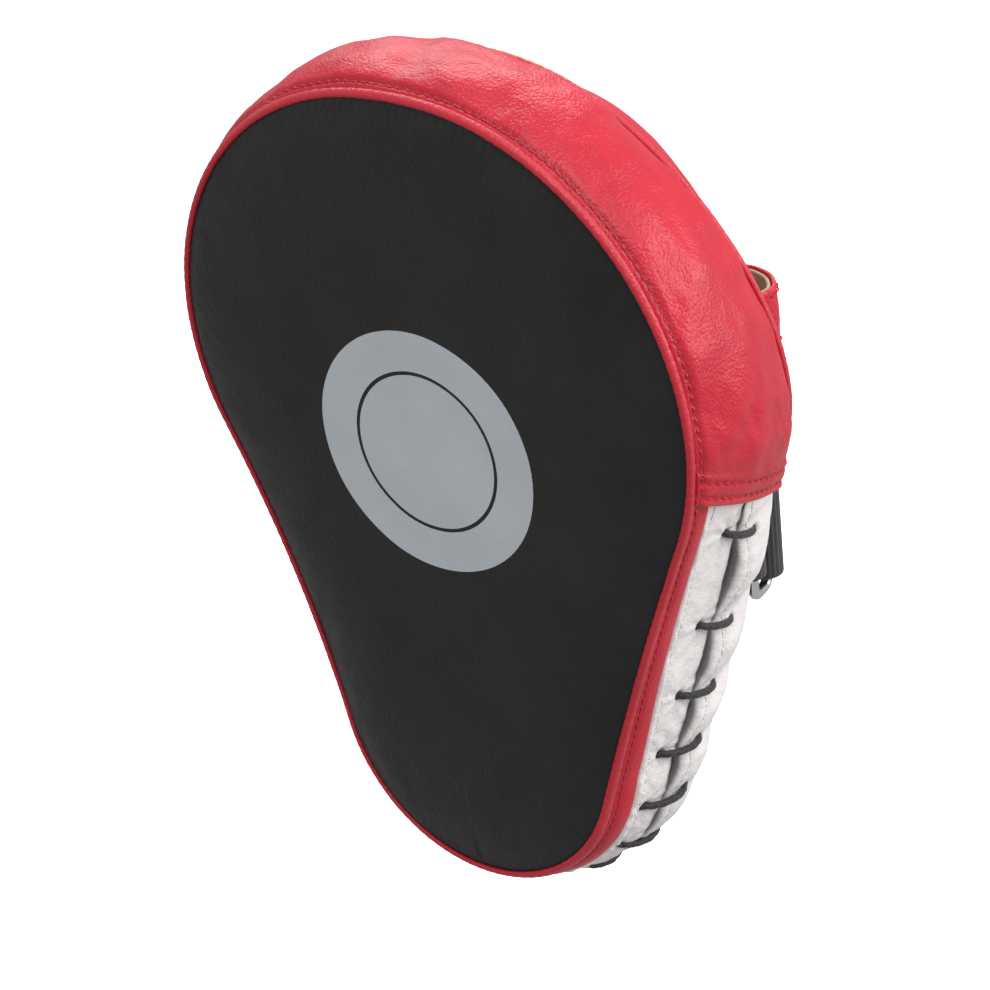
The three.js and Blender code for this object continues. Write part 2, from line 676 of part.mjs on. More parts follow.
function thumbLoop() {
  const sewn = 1.8;
  const line = new THREE.SplineCurve([
    new THREE.Vector2(THUMB_LOOP_OUTSIDE - 43, sewn),
    new THREE.Vector2(THUMB_LOOP_OUTSIDE - 35, sewn + 0.5),
    new THREE.Vector2(THUMB_LOOP_OUTSIDE - 25, 0.52 * THUMB_LOOP_RISE),
    new THREE.Vector2(THUMB_LOOP_OUTSIDE - 15, THUMB_LOOP_RISE),
    new THREE.Vector2(THUMB_LOOP_OUTSIDE - 6, 0.94 * THUMB_LOOP_RISE),
    new THREE.Vector2(THUMB_LOOP_OUTSIDE, 0.54 * THUMB_LOOP_RISE),
    new THREE.Vector2(THUMB_LOOP_OUTSIDE - 2, sewn + 1.4),
    new THREE.Vector2(THUMB_LOOP_OUTSIDE - 10, sewn),
  ]);
  const low = THUMB_LOOP_TOP - THUMB_LOOP_WIDTH;
  const seam = 0.4;
  add('thumb_loop', 'redLeather', band(line, 0, 1, seam, seam + 1.2, low, THUMB_LOOP_TOP, 36));
  add('thumb_loop_lining', 'tanLeather', band(line, 0, 1, -seam - 0.9, -seam, low, THUMB_LOOP_TOP, 36));
}

function dome(halfWidth, halfHeight, centre, inset, base, rise) {
  return plate(20, 3, (u, out, under) => {
    const turn = 2 * Math.PI * u;
    const s = (halfWidth - inset) * Math.sin(turn) * out;
    const t = centre + (halfHeight - inset) * Math.cos(turn) * out;
    const height = under ? base : base + DOME_RIM + (rise - DOME_RIM) * (1 - out ** DOME_FLATNESS);
    return onBack(s, t, height);
  });
}

function palmGrip() {
  add('palm_grip_foam', 'paleFoam', dome(GRIP_HALF_WIDTH, GRIP_HALF_HEIGHT, GRIP_HEIGHT, 3, GAP, GRIP_RISE - 3));
  const cover = plate(20, 3, (u, out, under) => {
    const turn = 2 * Math.PI * u;
    const s = GRIP_HALF_WIDTH * Math.sin(turn) * out;
    const t = GRIP_HEIGHT + GRIP_HALF_HEIGHT * Math.cos(turn) * out;
    const swell = GAP + 1.2 + GRIP_RISE * (1 - out ** DOME_FLATNESS);
    return onBack(s, t, under ? swell - DOME_RIM : swell);
  });
  add('palm_grip_cover', 'liner', cover);
  add('wrist_pad', 'liner', dome(
    WRIST_PAD_HALF_WIDTH, WRIST_PAD_HALF_HEIGHT, WRIST_PAD_HEIGHT, 0, 2 * GAP, WRIST_PAD_RISE));
}

// ---- hand strap, its ring and its fastening ----
const strapLow = STRAP_HEIGHT - STRAP_WIDTH / 2;
const strapHigh = STRAP_HEIGHT + STRAP_WIDTH / 2;
const strapHalf = STRAP_THICKNESS / 2;
const strapFlank = flankAt(STRAP_HEIGHT, 0);
const strapFoot = STRAP_FOOT_INSET - strapFlank;
const ringS = strapFlank - RING_INSET;
const tabTurn = ROD_RADIUS + TAB_SLACK + TAB_THICKNESS / 2;
const anchorTop = GAP + TAB_THICKNESS;
const ringInner = new THREE.Vector2(ringS, anchorTop + GAP + TAB_THICKNESS / 2 + tabTurn);
const ringLean = THREE.MathUtils.degToRad(RING_LEAN);
const ringOuter = new THREE.Vector2(Math.cos(ringLean), Math.sin(ringLean))
  .multiplyScalar(RING_PITCH).add(ringInner);
const foldRadius = ROD_RADIUS + FOLD_SLACK + strapHalf;
const FOLD_START = THREE.MathUtils.degToRad(232);
const FOLD_END = THREE.MathUtils.degToRad(405);

function onFold(turn) {
  return new THREE.Vector2(Math.cos(turn), Math.sin(turn)).multiplyScalar(foldRadius).add(ringOuter);
}

// The strap's line: sewn foot on the left, over the hand, then round the ring's outer bar.
const foot = strapHalf + GAP;
const arch = new THREE.SplineCurve([
  new THREE.Vector2(strapFoot, foot),
  new THREE.Vector2(strapFoot + 7, foot),
  new THREE.Vector2(strapFoot + 13, foot + 1.5),
  new THREE.Vector2(strapFoot + 20, foot + 9),
  new THREE.Vector2(strapFoot + 30, STRAP_RISE * 0.62),
  new THREE.Vector2(strapFoot + 44, STRAP_RISE * 0.91),
  new THREE.Vector2(0, STRAP_RISE),
  new THREE.Vector2(22, STRAP_RISE * 0.93),
  new THREE.Vector2(42, STRAP_RISE * 0.68),
  onFold(FOLD_START),
]);
const archLength = arch.getLength();
const beforeRing = (length) => 1 - length / archLength;

const loopInner = strapHalf + GAP;
const hookInner = loopInner + FASTENER_THICKNESS + GAP;
const flapMiddle = hookInner + FASTENER_THICKNESS + GAP + strapHalf;

function strapBand(line, from, to, inner, outer, margin, steps) {
  return band(line, from, to, inner, outer, strapLow + margin, strapHigh - margin, steps);
}

function handStrap() {
  const line = new THREE.CurvePath();
  line.add(arch);
  line.add(new THREE.EllipseCurve(
    ringOuter.x, ringOuter.y, foldRadius, foldRadius, FOLD_START, FOLD_END, false));
  add('hand_strap', 'webbing', strapBand(line, 0, 1, -strapHalf, strapHalf, 0, 44));
  const loopOuter = loopInner + FASTENER_THICKNESS;
  add('loop_patch', 'liner', strapBand(
    arch, beforeRing(FLAP_LENGTH + 8), beforeRing(LOOP_START), loopInner, loopOuter, TAPE_MARGIN, 14));
  const patchLength = STRAP_PATCH_LENGTH / archLength;
  const patchInner = strapHalf + GAP;
  add('strap_anchor_patch', 'redLeather', strapBand(
    arch, 0, patchLength, patchInner, patchInner + SKIN, -PATCH_MARGIN, 4));
}

function flapLine() {
  const leaving = new THREE.Vector2(-Math.sin(FOLD_END), Math.cos(FOLD_END));
  const start = onFold(FOLD_END).addScaledVector(leaving, FLAP_GAP);
  const points = [start, start.clone().addScaledVector(leaving, 5)];
  const stations = 6;
  for (let i = 0; i < stations; i++) {
    const before = THREE.MathUtils.lerp(LOOP_START, FLAP_LENGTH, i / (stations - 1));
    points.push(alongLine(arch, beforeRing(before), flapMiddle));
  }
  return new THREE.SplineCurve(points);
}

function strapFlap() {
  const line = flapLine();
  const length = line.getLength();
  const tip = 1 - FLAP_TIP_LENGTH / length;
  add('strap_flap', 'webbing', strapBand(line, 0, tip, -strapHalf, strapHalf, 0, 16));
  const hookFrom = (LOOP_START + 4) / length;
  const hookNear = strapHalf + GAP;
  add('hook_patch', 'liner', strapBand(
    line, hookFrom, tip, hookNear, hookNear + FASTENER_THICKNESS, TAPE_MARGIN, 12));
  const tipHalf = 1.2;
  add('flap_tip', 'redLeather', strapBand(line, tip + GAP / length, 1, -tipHalf, tipHalf, 1, 4));
}

function strapRing() {
  const long = RING_INNER_HEIGHT + 2 * ROD_RADIUS;
  const corner = 3;
  const halfLong = long / 2 - corner;
  const halfShort = RING_PITCH / 2 - corner;
  const quarter = Math.PI / 2;
  const path = new THREE.Path();
  path.moveTo(RING_PITCH / 2, -halfLong);
  path.lineTo(RING_PITCH / 2, halfLong);
  path.absarc(halfShort, halfLong, corner, 0, quarter, false);
  path.lineTo(-halfShort, long / 2);
  path.absarc(-halfShort, halfLong, corner, quarter, 2 * quarter, false);
  path.lineTo(-RING_PITCH / 2, -halfLong);
  path.absarc(-halfShort, -halfLong, corner, 2 * quarter, 3 * quarter, false);
  path.lineTo(halfShort, -long / 2);
  path.absarc(halfShort, -halfLong, corner, 3 * quarter, 4 * quarter, false);
  const centre = ringInner.clone().add(ringOuter).multiplyScalar(0.5);
  const base = backY(ringS, STRAP_HEIGHT);
  add('strap_ring', 'steel', ring(36, 8, (u, turn) => {
    const point = path.getPoint(u);
    const tangent = path.getTangent(u);
    const out = ROD_RADIUS * Math.cos(turn);
    const aside = ROD_RADIUS * Math.sin(turn);
    const across = point.x + tangent.y * out;
    return new THREE.Vector3(
      centre.x + Math.cos(ringLean) * across - Math.sin(ringLean) * aside,
      base + centre.y + Math.sin(ringLean) * across + Math.cos(ringLean) * aside,
      STRAP_HEIGHT + point.y - tangent.x * out,
    );
  }));
}

function ringTab() {
  const below = ringInner.y - tabTurn;
  const above = ringInner.y + tabTurn;
  const inland = ringS - TAB_LENGTH;
  const line = new THREE.CurvePath();
  line.add(new THREE.LineCurve(new THREE.Vector2(inland, below), new THREE.Vector2(ringS, below)));
  line.add(new THREE.EllipseCurve(
    ringS, ringInner.y, tabTurn, tabTurn, -Math.PI / 2, Math.PI / 2, false));
  line.add(new THREE.LineCurve(new THREE.Vector2(ringS, above), new THREE.Vector2(inland, above)));
  const halfTab = TAB_THICKNESS / 2;
  const low = STRAP_HEIGHT - TAB_WIDTH / 2;
  add('ring_tab', 'webbing', band(line, 0, 1, -halfTab, halfTab, low, low + TAB_WIDTH, 30));
}

function anchorWebbing() {
  add('anchor_webbing', 'webbing', slab(6, 3, (x, y, z) => {
    const height = STRAP_HEIGHT + ANCHOR_WIDTH * (y - 0.5);
    const edge = flankAt(height, backFlare(height) - ANCHOR_EDGE_INSET);
    const across = edge - ANCHOR_LENGTH * (1 - x);
    return new THREE.Vector3(across, backY(across, height) + GAP + (TAB_THICKNESS - GAP) * z, height);
  }));
}

frontPanel();
facePrints();
piping('front_piping', () => 0);
foamStack();
foamWrap();
upperGusset();
lowerWall();
backPanel();
piping('back_piping', wallDepth);
fingerHood();
thumbLoop();
palmGrip();
handStrap();
strapFlap();
strapRing();
ringTab();
anchorWebbing();

export default mitt;
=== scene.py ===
"""Looks of the boxing focus mitt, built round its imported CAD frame."""
import json
import math

import bmesh
import bpy
import numpy as np
from mathutils import Matrix, Vector


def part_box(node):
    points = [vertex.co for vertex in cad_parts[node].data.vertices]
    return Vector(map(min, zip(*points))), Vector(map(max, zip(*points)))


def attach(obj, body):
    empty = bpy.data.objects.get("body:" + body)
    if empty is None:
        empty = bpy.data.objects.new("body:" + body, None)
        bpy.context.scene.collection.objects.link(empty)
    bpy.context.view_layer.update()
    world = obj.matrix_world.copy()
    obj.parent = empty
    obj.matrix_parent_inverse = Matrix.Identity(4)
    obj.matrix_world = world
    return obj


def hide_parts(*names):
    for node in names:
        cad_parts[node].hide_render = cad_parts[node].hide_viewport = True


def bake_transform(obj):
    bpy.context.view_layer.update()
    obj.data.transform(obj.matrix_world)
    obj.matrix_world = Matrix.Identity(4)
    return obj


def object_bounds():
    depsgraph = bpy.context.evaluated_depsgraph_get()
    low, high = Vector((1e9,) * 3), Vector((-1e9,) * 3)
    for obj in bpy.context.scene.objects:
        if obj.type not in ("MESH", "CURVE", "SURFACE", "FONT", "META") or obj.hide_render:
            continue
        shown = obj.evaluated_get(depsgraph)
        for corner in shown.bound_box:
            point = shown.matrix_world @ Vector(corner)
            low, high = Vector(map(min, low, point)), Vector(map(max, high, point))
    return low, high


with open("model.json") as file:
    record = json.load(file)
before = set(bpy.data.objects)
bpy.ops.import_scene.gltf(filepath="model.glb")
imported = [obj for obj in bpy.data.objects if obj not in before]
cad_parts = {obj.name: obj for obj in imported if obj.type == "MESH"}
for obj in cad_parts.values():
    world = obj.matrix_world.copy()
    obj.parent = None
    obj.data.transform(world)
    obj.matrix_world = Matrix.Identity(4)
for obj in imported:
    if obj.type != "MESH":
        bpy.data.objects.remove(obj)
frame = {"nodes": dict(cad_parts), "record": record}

cad_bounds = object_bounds()
MM = 0.001

# ---- driving dimensions, in millimetres, as the CAD part has them ----
FACE_LENGTH = 250
CROWN_RADIUS = 130
CROWN_HALF_ANGLE = math.radians(5)
SHOULDER_RADIUS = 84.5
WAIST_RADIUS = 800
HEEL_RADIUS = 50
BEND_RADIUS = 1000
DISH_RADIUS = 725
FACE_CROWN = 9.3
TIP_DEPTH = 36
WAIST_DEPTH = 57.5
HEEL_DEPTH = 38.7
WAIST_HEIGHT = -12
WALL_PUFF = 3
BACK_FLARE_TOP = -2.5
BACK_FLARE_HEEL = 8
FLARE_START = 25
FLARE_LENGTH = 150
PALM_HOLLOW = 9
SKIN = 1.6
GAP = 0.4
TARGET_RADIUS = 38
TARGET_HEIGHT = 19.5
TARGET_INNER = 0.652 * TARGET_RADIUS
TARGET_LINE = 1.2
HEM_HEIGHT_FRONT = 21.5
HEM_HEIGHT_BACK = -3
HEM_TUCK = 8
RED_STRIP_WIDTH = 10.3
LACE_LINE_SHARE = 0.55
STRIP_LIFT = -0.5
STITCH_PITCH = 3.3
NEEDLE_HOLE_RISE = 0.1


def running_length(path):
    return np.concatenate([[0], np.cumsum(np.linalg.norm(np.diff(path, axis=0), axis=1))])


def sampled(path, along, where):
    """Points of a path at the given lengths along it."""
    return np.stack([np.interp(where, along, path[:, k]) for k in range(path.shape[1])], -1)


def smoothstep(x, low, high):
    share = np.clip((np.asarray(x, float) - low) / (high - low), 0, 1)
    return share * share * (3 - 2 * share)


# ---- seeded smooth noise ----
def noise(x, y, seed):
    table = np.random.default_rng(seed).uniform(-1, 1, (64, 64))
    x, y = np.broadcast_arrays(np.asarray(x, float), np.asarray(y, float))
    i, j = np.floor(x).astype(int), np.floor(y).astype(int)
    fx, fy = x - i, y - j
    fx, fy = fx * fx * (3 - 2 * fx), fy * fy * (3 - 2 * fy)
    i0, i1, j0, j1 = i % 64, (i + 1) % 64, j % 64, (j + 1) % 64
    low = table[i0, j0] * (1 - fx) + table[i1, j0] * fx
    high = table[i0, j1] * (1 - fx) + table[i1, j1] * fx
    return low * (1 - fy) + high * fy


def folds(x, y, seed):
    return (noise(x, y, seed) + 0.5 * noise(2.1 * x, 2.1 * y, seed + 1)
            + 0.25 * noise(4.3 * x, 4.3 * y, seed + 2)) / 1.75


# ---- outline of the face ----
def arc(centre, radius, start, end, count=1500):
    angle = np.linspace(start, end, count)
    return np.stack([centre[0] + radius * np.cos(angle), centre[1] + radius * np.sin(angle)], 1)


def right_half():
    """The outline from fingertips to heel, as four arcs that meet smoothly."""
    crown = np.array([0, FACE_LENGTH / 2 - CROWN_RADIUS])
    heel = np.array([0, HEEL_RADIUS - FACE_LENGTH / 2])
    reach = CROWN_RADIUS - SHOULDER_RADIUS
    shoulder = crown + reach * np.array([math.sin(CROWN_HALF_ANGLE), math.cos(CROWN_HALF_ANGLE)])
    to_heel = heel - shoulder
    span = np.linalg.norm(to_heel)
    to_heel = to_heel / span
    from_shoulder = SHOULDER_RADIUS + WAIST_RADIUS
    along = (from_shoulder ** 2 - (HEEL_RADIUS + WAIST_RADIUS) ** 2 + span ** 2) / (2 * span)
    aside = math.sqrt(from_shoulder ** 2 - along ** 2)
    waist = shoulder + along * to_heel + aside * np.array([-to_heel[1], to_heel[0]])
    turn_a = math.atan2(*(waist - shoulder)[::-1])
    turn_b = math.atan2(*(waist - heel)[::-1])
    up = math.pi / 2
    parts = [arc(crown, CROWN_RADIUS, up, up - CROWN_HALF_ANGLE),
             arc(shoulder, SHOULDER_RADIUS, up - CROWN_HALF_ANGLE, turn_a),
             arc(waist, WAIST_RADIUS, turn_a + math.pi, turn_b + math.pi),
             arc(heel, HEEL_RADIUS, turn_b, -up)]
    return np.concatenate([parts[0]] + [p[1:] for p in parts[1:]])


HALF = right_half()
HALF_ARC = running_length(HALF)
HALF_LENGTH = HALF_ARC[-1]
HALF_TANGENT = np.gradient(HALF, HALF_ARC, axis=0)
HALF_TANGENT /= np.linalg.norm(HALF_TANGENT, axis=1)[:, None]
EDGE_ANGLE = np.arctan2(np.maximum(HALF[:, 0], 0), HALF[:, 1])
EDGE_RADIUS = np.linalg.norm(HALF, axis=1)


def outline(u):
    """s, t and outward normal; u is 0 at the fingertips, 0.5 at the heel, negative on the left."""
    turn = np.asarray(u, float) % 1
    left = turn > 0.5
    where = np.where(left, 2 - 2 * turn, 2 * turn) * HALF_LENGTH
    side = np.where(left, -1.0, 1.0)
    s, t = (np.interp(where, HALF_ARC, HALF[:, k]) for k in (0, 1))
    ts, tt = (np.interp(where, HALF_ARC, HALF_TANGENT[:, k]) for k in (0, 1))
    return side * s, t, -side * tt, ts


def share_at_height(t):
    return np.interp(-np.asarray(t, float), -HALF[:, 1], HALF_ARC) / HALF_LENGTH / 2


def arc_of(u):
    return 2 * HALF_LENGTH * np.asarray(u, float)


def edge_polar(s, t):
    """Share of the way to the outline, distance left to it and place along it."""
    angle = np.arctan2(np.abs(s), t)
    radius = np.interp(angle, EDGE_ANGLE, EDGE_RADIUS)
    out = np.hypot(s, t) / radius
    return out, radius * (1 - np.minimum(out, 1)), np.sign(s) * np.interp(angle, EDGE_ANGLE, HALF_ARC)


# ---- shape of the padded body, in pad coordinates: s across, t up, d behind the face ----
def bend(s, t, d):
    turn = t / BEND_RADIUS
    return np.stack(np.broadcast_arrays(
        s, (BEND_RADIUS + d) * np.cos(turn) - BEND_RADIUS - s * s / (2 * DISH_RADIUS),
        (BEND_RADIUS + d) * np.sin(turn)), -1)


def wall_depth(t):
    """Depth of the side wall, from the face seam to the back seam."""
    upper = t > WAIST_HEIGHT
    end = np.where(upper, TIP_DEPTH, HEEL_DEPTH)
    reach = np.where(upper, FACE_LENGTH / 2 - WAIST_HEIGHT, FACE_LENGTH / 2 + WAIST_HEIGHT)
    phase = np.minimum(np.abs(t - WAIST_HEIGHT) / reach, 1)
    return end + (WAIST_DEPTH - end) * (1 + np.cos(np.pi * phase)) / 2


def back_flare(t):
    """How far the back seam stands outside the face seam."""
    down = smoothstep(FLARE_START - t, 0, FLARE_LENGTH)
    return BACK_FLARE_TOP + (BACK_FLARE_HEEL - BACK_FLARE_TOP) * down


def back_depth(s, t):
    out = np.minimum(edge_polar(s, t)[0], 1)
    return FACE_CROWN + wall_depth(t) - PALM_HOLLOW * (1 - out ** 2)


def wall_point(u, depth, lift):
    """A point on the side wall, lift mm outside its plain shape."""
    s, t, ns, nt = outline(u)
    share = depth / wall_depth(t)
    out = back_flare(t) * share + 4 * WALL_PUFF * share * (1 - share) + lift
    return bend(s + ns * out, t + nt * out, FACE_CROWN + depth)


def on_back(s, t, rise):
    """A point rise mm above the back panel's outer surface."""
    return bend(s, t, back_depth(s, t) + SKIN / 2 + rise)


def back_y(x, z):
    t = z / (1 + back_depth(x, z) / BEND_RADIUS)
    return on_back(x, t, 0)[..., 1]


ORIGIN = on_back(np.array(0.0), np.array(0.0), 0)


def flank_at(t, offset):
    """Half width of the outline, offset mm wider, at height t."""
    s, t_edge, ns, nt = outline(np.linspace(0, 0.5, 4000))
    return np.interp(-np.asarray(t, float), -(t_edge + nt * offset), s + ns * offset)


# ---- meshes ----
def piece(name, points, faces, look, nodes=(), body="mitt", shade=None, sharp=55):
    """One object from points in pad coordinates (mm); it stands for the CAD nodes given."""
    points = (np.asarray(points, float).reshape(-1, 3) - ORIGIN) * MM
    mesh = bpy.data.meshes.new(name)
    mesh.from_pydata(points.tolist(), [], faces)
    mesh.validate()
    mesh.update()
    mesh.polygons.foreach_set("use_smooth", [True] * len(mesh.polygons))
    mesh.set_sharp_from_angle(angle=math.radians(sharp))
    layer = mesh.attributes.new("shade", "FLOAT", "POINT")
    values = np.zeros(len(points)) if shade is None else np.asarray(shade, float).ravel()
    layer.data.foreach_set("value", values.astype(np.float32))
    made = bpy.data.objects.new(name, mesh)
    bpy.context.scene.collection.objects.link(made)
    mesh.materials.append(LOOKS[look])
    if body:
        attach(made, body)
    if nodes:
        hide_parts(*nodes)
    return made


def grid_faces(rows, columns, wrap=False, start=0, flip=False):
    i, j = np.meshgrid(np.arange(rows if wrap else rows - 1), np.arange(columns - 1), indexing="ij")
    a = i * columns + j
    b = ((i + 1) % rows) * columns + j
    quads = np.stack([a, b, b + 1, a + 1], -1).reshape(-1, 4) + start
    return (quads[:, ::-1] if flip else quads).tolist()


def volume(points, faces):
    total = 0.0
    pts = np.asarray(points).reshape(-1, 3)
    for size in (3, 4):
        chosen = np.array([f for f in faces if len(f) == size])
        if len(chosen):
            for k in range(1, size - 1):
                a, b, c = pts[chosen[:, 0]], pts[chosen[:, k]], pts[chosen[:, k + 1]]
                total += np.einsum("ij,ij->i", a, np.cross(b, c)).sum()
    return total


def sheet_solid(outer, inner, wrap=False):
    """Points and faces of a closed sheet between two grids of the same size."""
    rows, columns = outer.shape[:2]
    size = rows * columns
    faces = grid_faces(rows, columns, wrap) + grid_faces(rows, columns, wrap, size, True)
    edge = [np.arange(rows) * columns, np.arange(rows) * columns + columns - 1]
    for k, line in enumerate(edge):
        following = np.roll(line, -1) if wrap else line[1:]
        current = line if wrap else line[:-1]
        band = np.stack([current, following, following + size, current + size], -1)
        faces += (band if k else band[:, ::-1]).tolist()
    if not wrap:
        for k, line in enumerate([np.arange(columns), size - columns + np.arange(columns)]):
            band = np.stack([line[:-1], line[1:], line[1:] + size, line[:-1] + size], -1)
            faces += (band[:, ::-1] if k else band).tolist()
    points = np.concatenate([outer.reshape(-1, 3), inner.reshape(-1, 3)])
    if volume(points, faces) < 0:
        faces = [f[::-1] for f in faces]
    return points, faces


def disc_solid(front, rear):
    """A closed plate: both grids run from just off the middle out to the rim, round the piece."""
    points, faces = sheet_solid(front, rear, wrap=True)
    rows, columns = front.shape[:2]
    size = rows * columns
    keep = [f for f in faces if any(v % columns for v in f)]
    middle = [front[:, 0].mean(0), rear[:, 0].mean(0)]
    total = len(points)
    points = np.concatenate([points, middle])
    for k, first in enumerate((0, size)):
        ring_of = first + np.arange(rows) * columns
        following = np.roll(ring_of, -1)
        fan = np.stack([np.full(rows, total + k), ring_of, following], -1)
        keep += (fan[:, ::-1] if k else fan).tolist()
    return points, orient(points, keep)


def orient(points, faces):
    """Makes the two fans agree with the sheets they close."""
    mesh = bpy.data.meshes.new("orient")
    mesh.from_pydata(np.asarray(points).tolist(), [], faces)
    work = bmesh.new()
    work.from_mesh(mesh)
    bmesh.ops.recalc_face_normals(work, faces=work.faces)
    out = [[v.index for v in f.verts] for f in work.faces]
    work.free()
    bpy.data.meshes.remove(mesh)
    if volume(points, out) < 0:
        out = [f[::-1] for f in out]
    return out


def tube_solid(sections, closed=False):
    """Sections (n, k, 3) joined along their length; open ends are capped."""
    count, sides = sections.shape[:2]
    faces = []
    i, j = np.meshgrid(np.arange(count if closed else count - 1), np.arange(sides), indexing="ij")
    a, b = i * sides + j, ((i + 1) % count) * sides + j
    c, d = ((i + 1) % count) * sides + (j + 1) % sides, i * sides + (j + 1) % sides
    faces = np.stack([a, b, c, d], -1).reshape(-1, 4).tolist()
    points = sections.reshape(-1, 3)
    if not closed:
        faces.append(list(range(sides)))
        faces.append(list(range((count - 1) * sides, count * sides))[::-1])
    if volume(points, [f for f in faces if len(f) == 4]) < 0:
        faces = [f[::-1] for f in faces]
    return points, faces


def frames(path, closed=False, up=None):
    """Unit tangent, side and normal along a path."""
    if closed:
        tangent = np.roll(path, -1, 0) - np.roll(path, 1, 0)
    else:
        tangent = np.gradient(path, axis=0)
    tangent /= np.linalg.norm(tangent, axis=1)[:, None]
    if up is None:
        up = np.array([0.31, 0.77, 0.55])
    side = np.cross(tangent, up)
    side /= np.linalg.norm(side, axis=1)[:, None]
    return tangent, side, np.cross(side, tangent)


def round_tube(path, radius, sides=10, closed=False, up=None, relief=None):
    _, side, normal = frames(path, closed, up)
    turn = np.linspace(0, 2 * np.pi, sides, endpoint=False)
    size = np.full((len(path), sides), 1.0) * np.reshape(radius, (-1, 1))
    if relief is not None:
        size = size + relief(np.arange(len(path))[:, None], turn[None])
    ring = side[:, None] * np.cos(turn)[None, :, None] + normal[:, None] * np.sin(turn)[None, :, None]
    return tube_solid(path[:, None] + ring * size[..., None], closed)


def join(parts):
    points, faces, start = [], [], 0
    for p, f in parts:
        points.append(np.asarray(p).reshape(-1, 3))
        faces += [[v + start for v in face] for face in f]
        start += len(points[-1])
    return np.concatenate(points), faces


def stitching(name, look, rows, body="mitt"):
    """One piece from several rows of stitches."""
    points, faces = join([row[:2] for row in rows])
    piece(name, points, faces, look, body=body, shade=np.concatenate([row[2] for row in rows]))


def spread(length, edge=1.6, pitch=1.5):
    """Places 0..1 along a length in mm, closer together at both ends."""
    near = edge * np.array([0, 0.08, 0.2, 0.38, 0.62, 0.9])
    inner = np.linspace(1.25 * edge, length - 1.25 * edge, max(int(length / pitch), 3))
    return np.concatenate([near, inner, (length - near)[::-1]]) / length


def rim_drop(distance, radius):
    """How far a rounded edge falls away within its radius."""
    share = 1 - np.clip(distance / radius, 0, 1)
    return radius * (1 - np.sqrt(np.maximum(1 - share ** 2, 0)))


def stitches(line, pitch=STITCH_PITCH, length=2.4, radius=0.3, lift=0.42, hole=0.4):
    """Threads lying along a dense line of (point, outward normal), with needle holes between that are painted
    dark as painted shade.
    """
    path, normal = line
    along = running_length(path)
    parts = []
    for k in range(int(along[-1] / pitch)):
        where = k * pitch + 0.4 + np.linspace(0, length, 7)
        if where[-1] + pitch - length > along[-1]:
            break
        centre = sampled(path, along, where)
        out = sampled(normal, along, where)
        rise = lift * np.sin(np.linspace(0.02, np.pi - 0.02, 7)) ** 0.5 - 0.24
        size = radius * np.sin(np.linspace(0.35, np.pi - 0.35, 7)) ** 0.4
        parts.append(round_tube(centre + out * rise[:, None], size, 6, up=out[3]))
        gap = k * pitch + 0.4 + length + (pitch - length) / 2
        spot = sampled(path, along, gap)
        away = sampled(normal, along, gap)
        sink = spot + away * np.linspace(-0.8, NEEDLE_HOLE_RISE, 3)[:, None]
        parts.append(round_tube(sink, hole * np.array([1, 1, 0.7]), 8, up=centre[6] - centre[0]))
    points, faces = join(parts)
    # painted shade: thread points get 0 and needle-hole points -1, which paints the holes dark
    stitch_shade = np.tile(np.concatenate([np.zeros(7 * 6), np.full(3 * 8, -1.0)]), len(parts) // 2)
    return points, faces, stitch_shade


# ---- materials ----
def ramp(nodes, low, high, start=0.0, end=1.0):
    node = nodes.new("ShaderNodeValToRGB")
    node.color_ramp.elements[0].color = (*low, 1)
    node.color_ramp.elements[1].color = (*high, 1)
    node.color_ramp.elements[0].position = start
    node.color_ramp.elements[1].position = end
    return node


def texture(nodes, links, where, kind, scale, **settings):
    node = nodes.new(f"ShaderNodeTex{kind}")
    node.inputs["Scale"].default_value = scale
    for key, value in settings.items():
        if key in node.inputs:
            node.inputs[key].default_value = value
        else:
            setattr(node, key, value)
    links.new(where, node.inputs["Vector"])
    return node


def arithmetic(nodes, links, operation, a, b):
    node = nodes.new("ShaderNodeMath")
    node.operation = operation
    for socket, value in zip(node.inputs, (a, b)):
        if isinstance(value, (int, float)):
            socket.default_value = value
        else:
            links.new(value, socket)
    return node.outputs[0]


